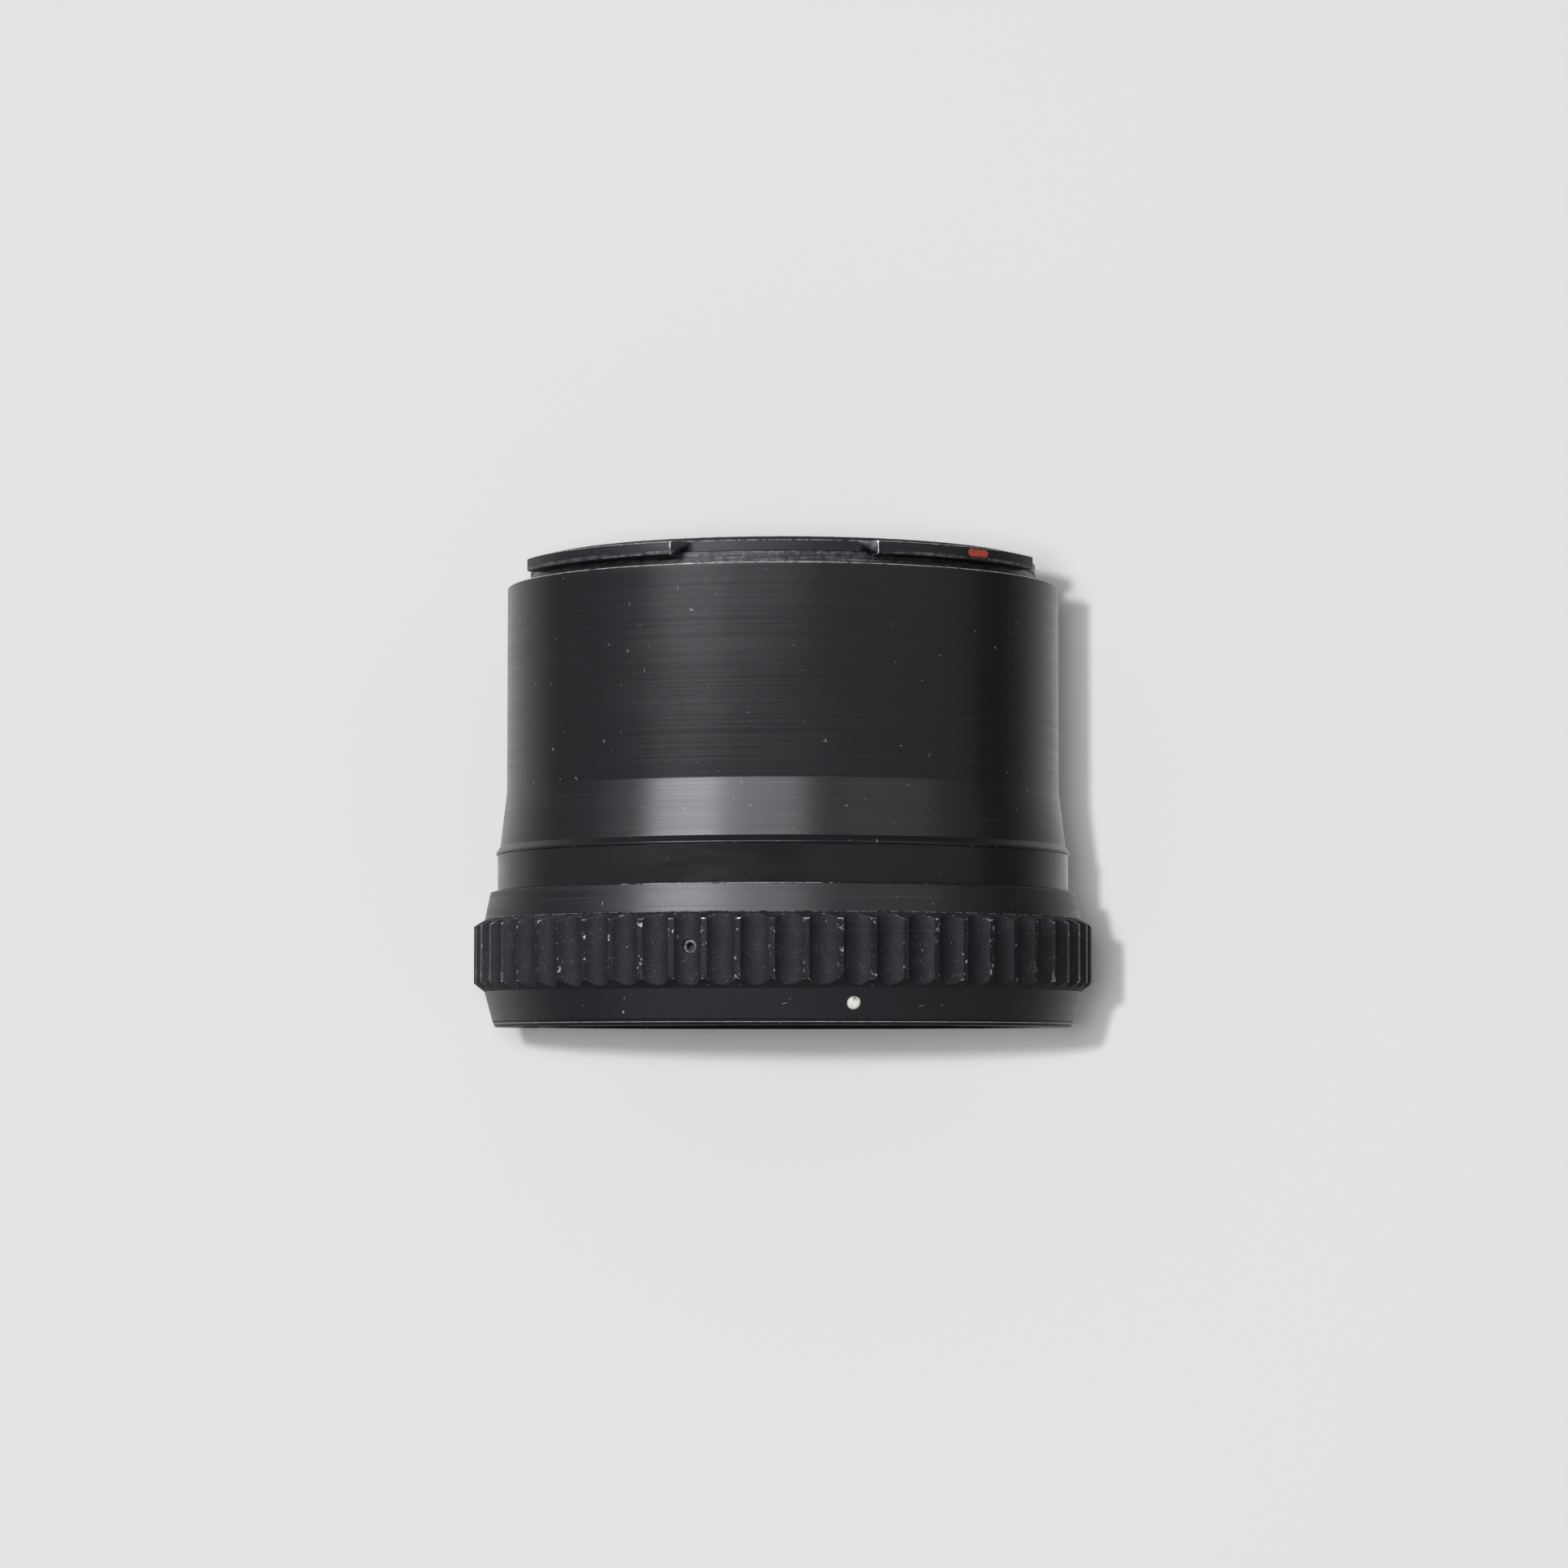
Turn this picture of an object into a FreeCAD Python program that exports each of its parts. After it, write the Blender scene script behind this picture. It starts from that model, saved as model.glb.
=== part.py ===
import FreeCAD, Part
import math
import os

# Macro extension tube, 55 mm, for a medium-format camera with interchangeable lenses.
# It stands on its lens-side rim. +Z is the optical axis, towards the camera, and z = 0 is the front rim face.
# Angles are about +Z, counted from -Y and positive towards +X.
Vector = FreeCAD.Vector
AXIS = Vector(0, 0, 1)
CENTRE = Vector(0, 0, 0)

# Driving sizes: the extension and the bayonet's neck
flange_to_rim = 55.0
neck_radius = 31.8

# Angles of the marks, the shaft and the catch, counted from the index dot
index_angle = 13.1
lug_angle_from_index = 30.0
mark_angle_from_index = 31.1
set_screw_angle_from_index = -30.0
shaft_angle_from_index = 180.0
catch_lug = 1

# Clearances
seat_gap = 0.05
face_gap = 0.02
running_gap = 0.04
swing_gap = 0.15
slide_gap = 0.2
throat_gap = 0.1
chamber_gap = 0.2

# Camera-side bayonet, a male neck with four lugs
neck_wall = 1.6
neck_height = 3.4
neck_chamfer_height = 0.65
neck_chamfer_width = 0.45
neck_groove_depth = 0.15
neck_groove_top = 1.7
neck_base_fillet = 0.3
lug_height = 1.85
lug_count = 4
lug_width_deg = 53.3
lug_run_out_deg = 3.4
lug_bottom = 1.25
lug_thickness = 1.6
lug_edge_break = 0.22
lug_notch_width = 2.0
lug_notch_depth = 1.4
flange_inset = 0.25
bayonet_flange_thickness = 1.6
mark_length = 3.5
mark_height = 0.95
mark_depth = 0.2

# Barrel, flare and lip
barrel_rim_width = 1.27
barrel_wall = 2.47
barrel_edge_break = 0.18
flare_rise = 0.83
flare_height = 6.9
lip_rise = 0.5
lip_height = 1.0
spigot_wall = 1.8
spigot_length = 6.5
inner_flange_thickness = 3.0
glare_groove_count = 5
glare_groove_pitch = 4.2
glare_groove_depth = 0.4
glare_groove_half_width = 0.6

# Name band and collar
band_inset = 0.2
band_wall = 0.8
band_height = 4.3
collar_height = 3.1
collar_chamfer_height = 0.8
collar_chamfer_width = 0.75

# Housing, fluted grip ring and rim
housing_wall = 2.05
housing_step = 1.0
chamber_depth = 4.2
housing_ledge_start = 6.0
housing_ledge_thickness = 2.0
rim_edge_wall = 0.5
rim_edge_height = 0.7
rim_cone_rise = 1.0
rim_cone_height = 3.67
ridge_rise = 1.33
lower_chamfer_height = 1.07
fluted_height = 7.1
upper_chamfer_height = 0.76
flute_count = 60
flute_depth = 0.93
flute_cutter_radius = 1.95
dot_radius = 0.86
dot_height = 2.6
dot_depth = 0.4

# Lens-side bayonet, a female ring with four tabs
tab_thickness = 1.2
tab_gap_deg = 1.0
tab_root = 0.3
rim_round_height = 0.45
rim_round_width = 0.12
leaf_thickness = 0.2
leaf_half_angle = 12.0
leaf_offset_angle = -5.0
leaf_edge_inset = 0.4
stop_pin_radius = 0.55
stop_pin_depth = 2.0

# Ring plates round the light opening
plate_land = 2.8
plate_thickness = 1.2
ledge_rise = 0.6
eye_margin = 0.6

# Drive shaft, couplings and bearings
shaft_inset = 1.8
shaft_radius = 2.0
hub_radius = 3.8
hub_length = 3.2
hub_below_neck_top = 1.0
hub_edge_break = 0.3
slot_width = 1.6
slot_depth = 1.5
slot_floor = 0.3
key_thickness = 1.4
key_depth = 1.3
key_below_rim = 1.1
key_inset = 0.4
front_hub_length = 4.4
front_hub_floor = 1.4
boss_wall = 1.1
bush_wall = 1.2
bush_length = 3.0
bush_flange_thickness = 0.6
coupling_pin_radius = 0.5
coupling_pin_inset = 1.0
clip_radius = 3.3
clip_mouth = 2.6
clip_thickness = 0.6
clip_groove_depth = 0.4
cover_wall = 0.6
cover_gap = 1.7
cover_foot_reach = 8.2
cover_foot_inset = 6.0
cover_screw_offset = 6.2
cover_screw_inset = 4.0
cover_screw_bite = 1.5

# Lens catch
catch_travel = 2.2
lock_pin_radius = 0.6
lock_pin_inset = 0.75
lock_pin_tip = 1.6
lock_pin_nose = 0.25
lock_pin_below_spring = 0.2
block_width = 6.4
block_height = 4.2
pocket_floor_wall = 1.1
pocket_bottom = 5.8
spring_mean_radius = 1.05
spring_wire_radius = 0.22
spring_turns = 4
spring_length = 6.0
spring_seat_depth = 1.8
spring_hole_gap = 0.23
button_width = 5.6
button_height = 4.4
button_stand = 1.17
button_edge_break = 0.5
button_ridge_count = 3
button_ridge_depth = 0.35
button_ridge_width = 0.5
button_screw_land = 2.6
button_screw_sink = 0.35

# Fasteners
plate_screw_count = 4
plate_screw_head_radius = 1.1
plate_screw_shank_radius = 0.7
screw_floor = 0.6
rim_screw_head_radius = 0.8
rim_screw_shank_radius = 0.5
rim_screw_length = 4.6
set_screw_count = 3
set_screw_radius = 0.8
set_screw_sink = 0.15
set_screw_dimple = 0.6
set_screw_cup = 0.3
set_screw_socket_radius = 0.5
set_screw_socket_depth = 0.85
set_screw_height_in_flutes = 3.8
small_screw_head_radius = 0.9
small_screw_shank_radius = 0.55
over_cut = 1.0

# Radii that follow from the neck
lug_radius = neck_radius + lug_height
neck_bore_radius = neck_radius - neck_wall
opening_radius = neck_bore_radius - plate_land
bayonet_flange_radius = lug_radius - flange_inset
barrel_radius = bayonet_flange_radius + barrel_rim_width
barrel_bore_radius = barrel_radius - barrel_wall
spigot_radius = barrel_bore_radius + spigot_wall
flare_foot_radius = barrel_radius + flare_rise
lip_radius = flare_foot_radius + lip_rise
band_radius = lip_radius - band_inset
band_bore_radius = band_radius - band_wall
collar_top_radius = lip_radius + collar_chamfer_width
throat_radius = neck_radius + throat_gap
chamber_radius = lug_radius + chamber_gap
housing_radius = chamber_radius + housing_wall
housing_bore_radius = barrel_bore_radius - housing_step
rim_edge_radius = housing_radius + rim_edge_wall
rim_cone_top_radius = rim_edge_radius + rim_cone_rise
grip_radius = rim_cone_top_radius + ridge_rise
grip_bore_radius = housing_radius + seat_gap
valley_radius = grip_radius - flute_depth
shaft_ring_radius = opening_radius - shaft_inset
front_plate_outer = housing_bore_radius - seat_gap
rear_plate_outer = neck_bore_radius - seat_gap

# Stations along the axis
rim_cone_top = rim_edge_height + rim_cone_height
flutes_bottom = rim_cone_top + lower_chamfer_height
flutes_top = flutes_bottom + fluted_height
grip_top = flutes_top + upper_chamfer_height
collar_top = grip_top + collar_height
band_bottom = collar_top + collar_chamfer_height
band_top = band_bottom + band_height
lip_top = band_top + lip_height
flare_top = lip_top + flare_height
neck_top = flange_to_rim + neck_height
bayonet_bottom = flange_to_rim - bayonet_flange_thickness
ledge_top = flange_to_rim + ledge_rise
rear_plate_top = ledge_top + plate_thickness
inner_flange_bottom = bayonet_bottom - inner_flange_thickness
spigot_bottom = band_top - spigot_length
housing_ledge_end = housing_ledge_start + housing_ledge_thickness
front_plate_front = housing_ledge_start - plate_thickness
leaf_bottom = tab_thickness - leaf_thickness - seat_gap

# Shaft stations
shaft_angle = index_angle + shaft_angle_from_index
rear_hub_top = neck_top - hub_below_neck_top
rear_hub_bottom = rear_hub_top - hub_length
front_hub_bottom = key_below_rim + key_depth
front_hub_top = front_hub_bottom + front_hub_length
bush_outer_radius = shaft_radius + running_gap + bush_wall
boss_radius = hub_radius + swing_gap + boss_wall
rear_boss_bottom = rear_hub_bottom - swing_gap - bush_length
front_boss_top = front_hub_top + swing_gap + bush_length
clip_heights = [front_boss_top + slide_gap, rear_boss_bottom - slide_gap - clip_thickness]
coupling_pin_heights = [front_hub_top - coupling_pin_inset, rear_hub_bottom + coupling_pin_inset]
cover_inner_radius = shaft_radius + cover_gap
cover_bottom = front_boss_top + seat_gap
cover_top = inner_flange_bottom - seat_gap
cover_seat_radius = barrel_bore_radius - seat_gap
foot_bottom = spigot_bottom + cover_foot_inset
foot_top = cover_top - cover_foot_inset
cover_screw_heights = [foot_bottom + cover_screw_inset, foot_top - cover_screw_inset]

# Catch stations
catch_angle = index_angle + lug_angle_from_index + catch_lug * 360.0 / lug_count
pocket_floor_radius = housing_bore_radius + pocket_floor_wall
lock_pin_circle = chamber_radius - lock_pin_inset
block_bottom = pocket_bottom + slide_gap
block_top = block_bottom + block_height
pocket_top = block_top + catch_travel + slide_gap
block_inner = pocket_floor_radius + slide_gap / 2
block_outer = housing_radius - seat_gap
spring_circle = (block_inner + block_outer) / 2
spring_top = pocket_top + spring_seat_depth
spring_bottom = spring_top - spring_length
spring_hole_radius = spring_mean_radius + spring_wire_radius + spring_hole_gap
lock_pin_top = spring_bottom - lock_pin_below_spring
button_foot = block_outer + face_gap
button_top_radius = grip_radius + button_stand
button_bottom = block_bottom + (block_height - button_height) / 2 + slide_gap / 2
button_top = button_bottom + button_height
button_screw_height = block_bottom + button_screw_land / 2

# Places of the repeated fasteners
lug_step = 360.0 / lug_count
lug_angles = [index_angle + lug_angle_from_index + lug_step * k for k in range(lug_count)]
tab_angles = [index_angle + lug_step * (k + 0.5) for k in range(lug_count)]
tab_half_angle = (lug_step - lug_width_deg - tab_gap_deg) / 2
plate_screw_step = 360.0 / plate_screw_count
plate_screw_angles = [shaft_angle + plate_screw_step * (k + 0.5) for k in range(plate_screw_count)]
plate_screw_circle = (opening_radius + neck_bore_radius) / 2
front_plate_screw_circle = (opening_radius + front_plate_outer) / 2
rim_screw_circle = (chamber_radius + housing_radius) / 2
set_screw_step = 360.0 / set_screw_count
set_screw_angles = [index_angle + set_screw_angle_from_index + set_screw_step * k for k in range(set_screw_count)]
set_screw_height = flutes_bottom + set_screw_height_in_flutes
set_screw_tip = housing_radius - set_screw_dimple
rear_screw_length = rear_plate_top - inner_flange_bottom - screw_floor
front_screw_length = plate_thickness + housing_ledge_thickness - screw_floor / 2
cover_foot_thickness = cover_wall
cover_screw_length = cover_foot_thickness + seat_gap + cover_screw_bite
button_screw_end = lock_pin_circle + lock_pin_radius + slide_gap
button_screw_length = button_top_radius - button_screw_sink - button_screw_end
stop_circle = (throat_radius + chamber_radius) / 2
stop_pin_half_angle = math.degrees(stop_pin_radius / stop_circle)
stop_angle = index_angle + lug_angle_from_index + lug_width_deg / 2 + stop_pin_half_angle + tab_gap_deg / 2


def place(shape, angle):
    """Turn a shape that was made on +X to its angle about the axis."""
    shape.rotate(CENTRE, AXIS, angle - 90.0)
    return shape


def revolved(points):
    """Full turn of a closed outline of (radius, height) points."""
    corners = [Vector(r, 0, z) for r, z in points]
    face = Part.Face(Part.makePolygon(corners + corners[:1]))
    return face.revolve(CENTRE, AXIS, 360)


def ring(inner, outer, bottom, top):
    return revolved([(inner, bottom), (outer, bottom), (outer, top), (inner, top)])


def rod(radius, bottom, top, offset=0.0):
    """Upright cylinder, offset along +X."""
    return Part.makeCylinder(radius, top - bottom, Vector(offset, 0, bottom), AXIS)


def shaft_rod(radius, bottom, top):
    """Upright cylinder round the drive shaft's axis."""
    return place(rod(radius, bottom, top, shaft_ring_radius), shaft_angle)


def radial_rod(radius, inner, outer, height):
    """Cylinder that lies along +X at a height."""
    return Part.makeCylinder(radius, outer - inner, Vector(inner, 0, height), Vector(1, 0, 0))


def block(inner, outer, width, bottom, top):
    """Box on +X between two radii."""
    return Part.makeBox(outer - inner, width, top - bottom, Vector(inner, -width / 2, bottom))


def polar(radius, angle, height=0.0):
    turn = math.radians(angle)
    return Vector(radius * math.cos(turn), radius * math.sin(turn), height)


def sector(inner, outer, half_inner, half_outer, bottom, top):
    """Part of a ring about +X, whose ends may slope between two half angles."""
    edges = [
        Part.Arc(polar(outer, -half_outer), polar(outer, 0), polar(outer, half_outer)).toShape(),
        Part.LineSegment(polar(outer, half_outer), polar(inner, half_inner)).toShape(),
        Part.Arc(polar(inner, half_inner), polar(inner, 0), polar(inner, -half_inner)).toShape(),
        Part.LineSegment(polar(inner, -half_inner), polar(outer, -half_outer)).toShape(),
    ]
    solid = Part.Face(Part.Wire(edges)).extrude(Vector(0, 0, top - bottom))
    solid.translate(Vector(0, 0, bottom))
    return solid


def cut_all(shape, tools):
    return shape.cut(Part.makeCompound(tools))


def rim_edges(solid, height):
    """Full circles of a solid at one height."""
    return [e for e in solid.Edges if len(e.Vertexes) == 1 and abs(e.Vertexes[0].Z - height) < face_gap]


def countersunk_screw(head_radius, shank_radius, length):
    """Slotted screw that points down, with its head's flat face at z = 0."""
    head = head_radius - shank_radius
    screw = revolved([(0, 0), (head_radius, 0), (shank_radius, -head), (shank_radius, -length), (0, -length)])
    slot_share = 0.3
    slot = Part.makeBox(3 * head_radius, head_radius * slot_share, head_radius * slot_share)
    slot.translate(Vector(-1.5 * head_radius, -head_radius * slot_share / 2, -head_radius * slot_share))
    return screw.cut(slot)


def screw_hole(head_radius, shank_radius, length):
    """Space for such a screw, with the seat's clearance all round."""
    head = head_radius - shank_radius
    mouth = head_radius + seat_gap
    neck = shank_radius + seat_gap
    return revolved([
        (0, over_cut), (mouth, over_cut), (mouth, 0), (neck, -head), (neck, -length - seat_gap), (0, -length - seat_gap),
    ])


def spread(shape, radius, height, angles, upside_down=False):
    """Copies of an upright piece at one radius and several angles."""
    copies = []
    for angle in angles:
        copy = shape.copy()
        if upside_down:
            copy.rotate(CENTRE, Vector(1, 0, 0), 180)
        copy.translate(Vector(radius, 0, height))
        copies.append(place(copy, angle))
    return copies


# Each group of screws, or the holes for them, from one maker

def rear_plate_screw_set(make):
    screw = make(plate_screw_head_radius, plate_screw_shank_radius, rear_screw_length)
    return spread(screw, plate_screw_circle, rear_plate_top, plate_screw_angles)


def front_plate_screw_set(make):
    screw = make(plate_screw_head_radius, plate_screw_shank_radius, front_screw_length)
    return spread(screw, front_plate_screw_circle, front_plate_front - face_gap, plate_screw_angles, True)


def rim_screw_set(make):
    screw = make(rim_screw_head_radius, rim_screw_shank_radius, rim_screw_length)
    return spread(screw, rim_screw_circle, 0.0, tab_angles, True)


def cover_screw_set(make):
    """These go outwards through the feet of the shaft cover."""
    inner = cover_seat_radius - cover_foot_thickness
    pieces = []
    for height in cover_screw_heights:
        for side in (-1, 1):
            piece = make(small_screw_head_radius, small_screw_shank_radius, cover_screw_length)
            piece.rotate(CENTRE, Vector(0, 1, 0), -90)
            piece.translate(Vector(inner, 0, height))
            turn = side * math.degrees(math.asin(cover_screw_offset / inner))
            pieces.append(place(piece, shaft_angle + turn))
    return pieces


def button_screw_piece(make):
    piece = make(small_screw_head_radius, small_screw_shank_radius, button_screw_length)
    piece.rotate(CENTRE, Vector(0, 1, 0), 90)
    piece.translate(Vector(button_top_radius - button_screw_sink, 0, button_screw_height))
    return place(piece, catch_angle)


# Outer pieces

def grip_ring():
    """Gripped by axial flutes that run out on both chamfers."""
    bottom = rim_edge_height + face_gap
    blank = revolved([
        (grip_bore_radius, bottom), (rim_edge_radius, bottom), (rim_cone_top_radius, rim_cone_top),
        (grip_radius, flutes_bottom), (grip_radius, flutes_top), (rim_cone_top_radius, grip_top),
        (grip_bore_radius, grip_top),
    ])
    cutter = rod(flute_cutter_radius, rim_cone_top - over_cut, grip_top + over_cut,
                 valley_radius + flute_cutter_radius)
    flute_step = 360.0 / flute_count
    flutes = [place(cutter.copy(), index_angle + flute_step * k) for k in range(flute_count)]
    solid = cut_all(blank, flutes)
    holes = [place(radial_rod(set_screw_radius + seat_gap, grip_bore_radius - over_cut, grip_radius + over_cut,
                              set_screw_height), angle) for angle in set_screw_angles]
    window = place(block(grip_bore_radius - over_cut, grip_radius + over_cut, button_width + 2 * slide_gap,
                         button_bottom - slide_gap, button_top + catch_travel + slide_gap), catch_angle)
    return cut_all(solid, holes + [window, dot_space()])


def dot_space():
    """Round sinking for the paint of the index dot, square to the rim cone."""
    slope = math.atan2(rim_cone_rise, rim_cone_height)
    surface = rim_edge_radius + rim_cone_rise * (dot_height - rim_edge_height) / rim_cone_height
    outward = Vector(math.cos(slope), 0, -math.sin(slope))
    start = Vector(surface, 0, dot_height) - outward * dot_depth
    return place(Part.makeCylinder(dot_radius, 2 * dot_depth, start, outward), index_angle)


def white_index_dot():
    cone = revolved([
        (housing_radius, rim_edge_height), (rim_edge_radius, rim_edge_height),
        (rim_cone_top_radius, rim_cone_top), (housing_radius, rim_cone_top),
    ])
    return dot_space().common(cone)


def grip_set_screws():
    """Headless screws with a hexagon socket and a coned tip."""
    end = valley_radius - set_screw_sink
    screw = radial_rod(set_screw_radius, set_screw_tip + set_screw_cup, end, set_screw_height)
    tip = Part.makeCone(set_screw_radius - set_screw_cup, set_screw_radius, set_screw_cup,
                        Vector(set_screw_tip, 0, set_screw_height), Vector(1, 0, 0))
    corners = [Vector(0, set_screw_socket_radius * math.cos(math.radians(60 * k)),
                      set_screw_socket_radius * math.sin(math.radians(60 * k))) for k in range(6)]
    socket = Part.Face(Part.makePolygon(corners + corners[:1])).extrude(Vector(set_screw_socket_depth + over_cut, 0, 0))
    socket.translate(Vector(end - set_screw_socket_depth, 0, set_screw_height))
    body = screw.fuse(tip).cut(socket)
    return Part.makeCompound([place(body.copy(), angle) for angle in set_screw_angles])


def name_band():
    return ring(band_bore_radius, band_radius, band_bottom + face_gap, band_top - face_gap)


def main_barrel():
    """Barrel with its flare, the spigot that the front housing takes, and the inner flange."""
    flange_seat = bayonet_flange_radius + seat_gap
    solid = revolved([
        (barrel_bore_radius, spigot_bottom), (spigot_radius, spigot_bottom), (spigot_radius, band_top),
        (lip_radius, band_top), (flare_foot_radius, lip_top), (barrel_radius, flare_top),
        (barrel_radius, flange_to_rim - barrel_edge_break), (barrel_radius - barrel_edge_break, flange_to_rim),
        (flange_seat, flange_to_rim), (flange_seat, bayonet_bottom), (opening_radius, bayonet_bottom),
        (opening_radius, inner_flange_bottom), (barrel_bore_radius, inner_flange_bottom),
    ])
    grooves = []
    for k in range(glare_groove_count):
        middle = flare_top + glare_groove_pitch * k
        low = middle - glare_groove_half_width
        high = middle + glare_groove_half_width
        grooves.append(revolved([
            (barrel_bore_radius, low), (barrel_bore_radius + glare_groove_depth, middle), (barrel_bore_radius, high),
            (barrel_bore_radius - seat_gap, high), (barrel_bore_radius - seat_gap, low),
        ]))
    boss = shaft_rod(boss_radius + seat_gap, rear_boss_bottom - over_cut, flange_to_rim)
    holes = rear_plate_screw_set(screw_hole) + cover_screw_set(screw_hole)
    return cut_all(solid, grooves + [boss] + holes)


def front_housing():
    """Carries the collar, the grip ring, the name band and the lens-side bayonet."""
    band_seat = band_bore_radius - seat_gap
    spigot_seat = spigot_radius + seat_gap
    spigot_stop = spigot_bottom - face_gap
    front = tab_thickness + face_gap
    collar_foot = grip_top + face_gap
    solid = revolved([
        (chamber_radius, front), (housing_radius, front), (housing_radius, collar_foot),
        (rim_cone_top_radius, collar_foot), (collar_top_radius, collar_top), (lip_radius, band_bottom),
        (band_seat, band_bottom), (band_seat, band_top - face_gap), (spigot_seat, band_top - face_gap),
        (spigot_seat, spigot_stop), (housing_bore_radius, spigot_stop), (housing_bore_radius, housing_ledge_end),
        (opening_radius, housing_ledge_end), (opening_radius, housing_ledge_start),
        (housing_bore_radius, housing_ledge_start), (housing_bore_radius, chamber_depth),
        (chamber_radius, chamber_depth),
    ])
    boss = shaft_rod(boss_radius + seat_gap, front_plate_front, front_boss_top + over_cut)
    dimples = [place(radial_rod(set_screw_radius + seat_gap, set_screw_tip - face_gap, housing_radius + over_cut,
                                set_screw_height), angle) for angle in set_screw_angles]
    stop = place(rod(stop_pin_radius + seat_gap, 0, chamber_depth + stop_pin_depth + face_gap, stop_circle),
                 stop_angle)
    pocket = place(block(pocket_floor_radius, housing_radius + over_cut, block_width + 2 * slide_gap,
                         pocket_bottom, pocket_top), catch_angle)
    collar_cap = ring(housing_radius, rim_cone_top_radius + over_cut, grip_top, collar_top)
    pin_way = place(rod(lock_pin_radius + slide_gap / 2, 0, pocket_bottom + over_cut, lock_pin_circle), catch_angle)
    spring_hole = place(rod(spring_hole_radius, pocket_top - over_cut, spring_top, spring_circle), catch_angle)
    tools = [boss, stop, pocket.cut(collar_cap), pin_way, spring_hole] + dimples
    return cut_all(solid, tools + front_plate_screw_set(screw_hole) + rim_screw_set(screw_hole))


# Camera-side bayonet

def lug(angle):
    """One lug with sloped run-outs and broken edges."""
    half = lug_width_deg / 2
    bottom = flange_to_rim + lug_bottom
    root = neck_radius - neck_groove_depth - seat_gap
    solid = sector(root, lug_radius, half, half - lug_run_out_deg, bottom, bottom + lug_thickness)
    outer = [e for e in solid.Edges
             if all(math.hypot(v.X, v.Y) > lug_radius - seat_gap for v in e.Vertexes)]
    return place(solid.makeChamfer(lug_edge_break, outer), angle)


def rear_bayonet():
    """Neck, base flange, screw ledge and four lugs, one of them notched for the camera's catch."""
    groove_radius = neck_radius - neck_groove_depth
    groove_top = flange_to_rim + neck_groove_top
    fillet = neck_base_fillet
    bend = fillet * (1 - math.sqrt(0.5))
    start = Vector(groove_radius + fillet, 0, flange_to_rim)
    middle = Vector(groove_radius + bend, 0, flange_to_rim + bend)
    end = Vector(groove_radius, 0, flange_to_rim + fillet)
    seat = bayonet_bottom + face_gap
    outline = [
        (groove_radius, groove_top), (neck_radius, groove_top), (neck_radius, neck_top - neck_chamfer_height),
        (neck_radius - neck_chamfer_width, neck_top), (neck_bore_radius, neck_top), (neck_bore_radius, ledge_top),
        (opening_radius, ledge_top), (opening_radius, seat), (bayonet_flange_radius, seat),
        (bayonet_flange_radius, flange_to_rim),
    ]
    corners = [end] + [Vector(r, 0, z) for r, z in outline] + [start]
    edges = [Part.Arc(start, middle, end).toShape()]
    edges += [Part.LineSegment(a, b).toShape() for a, b in zip(corners, corners[1:])]
    solid = Part.Face(Part.Wire(edges)).revolve(CENTRE, AXIS, 360)
    solid = solid.multiFuse([lug(angle) for angle in lug_angles]).removeSplitter()
    low = bayonet_bottom - over_cut
    high = ledge_top + over_cut
    boss = shaft_rod(boss_radius + seat_gap, low, high).common(rod(neck_bore_radius, low, high))
    notch = place(block(lug_radius - lug_notch_depth, lug_radius + over_cut, lug_notch_width,
                        flange_to_rim + lug_bottom - seat_gap, neck_top), catch_angle)
    return cut_all(solid, rear_plate_screw_set(screw_hole) + [boss, notch, mark_space()])


def mark_space():
    """Rounded sinking in the face of the first lug."""
    middle = flange_to_rim + lug_bottom + lug_thickness / 2
    end = mark_height / 2
    straight = mark_length - mark_height
    floor = lug_radius - mark_depth
    shape = block(floor, lug_radius + over_cut, straight, middle - end, middle + end)
    for side in (-1, 1):
        cap = radial_rod(end, floor, lug_radius + over_cut, middle)
        cap.translate(Vector(0, side * straight / 2, 0))
        shape = shape.fuse(cap)
    return place(shape.removeSplitter(), index_angle + mark_angle_from_index)


def red_index_mark():
    return mark_space().common(rod(lug_radius, flange_to_rim, neck_top))


def ring_plate(outer, bottom, boss_low, boss_high, hub_low, hub_high):
    """Ring plate with a boss for the shaft, bored for the hub and for the bush's body."""
    top = bottom + plate_thickness
    disc = ring(opening_radius, outer, bottom, top)
    eye = shaft_rod(boss_radius + eye_margin, bottom, top).common(rod(outer, bottom, top))
    boss = shaft_rod(boss_radius, boss_low, boss_high).common(rod(outer, boss_low, boss_high))
    solid = disc.multiFuse([eye, boss]).removeSplitter()
    hub_bore = shaft_rod(hub_radius + swing_gap, hub_low, hub_high)
    seat = shaft_rod(bush_outer_radius + seat_gap, boss_low - over_cut, boss_high + over_cut)
    return cut_all(solid, [hub_bore, seat])


def rear_plate():
    """Closes the neck round the light opening and carries the shaft's rear bearing."""
    bottom = ledge_top + face_gap
    top = bottom + plate_thickness
    hub_low = rear_hub_bottom - swing_gap - bush_flange_thickness
    solid = ring_plate(rear_plate_outer, bottom, rear_boss_bottom, top, hub_low, top + over_cut)
    return cut_all(solid, rear_plate_screw_set(screw_hole))


def front_plate():
    """Same plate at the lens side, seated on the housing's ledge."""
    bottom = front_plate_front - face_gap
    hub_high = front_hub_top + swing_gap + bush_flange_thickness
    solid = ring_plate(front_plate_outer, bottom, bottom, front_boss_top, bottom - over_cut, hub_high)
    return cut_all(solid, front_plate_screw_set(screw_hole))


# Lens-side bayonet

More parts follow.
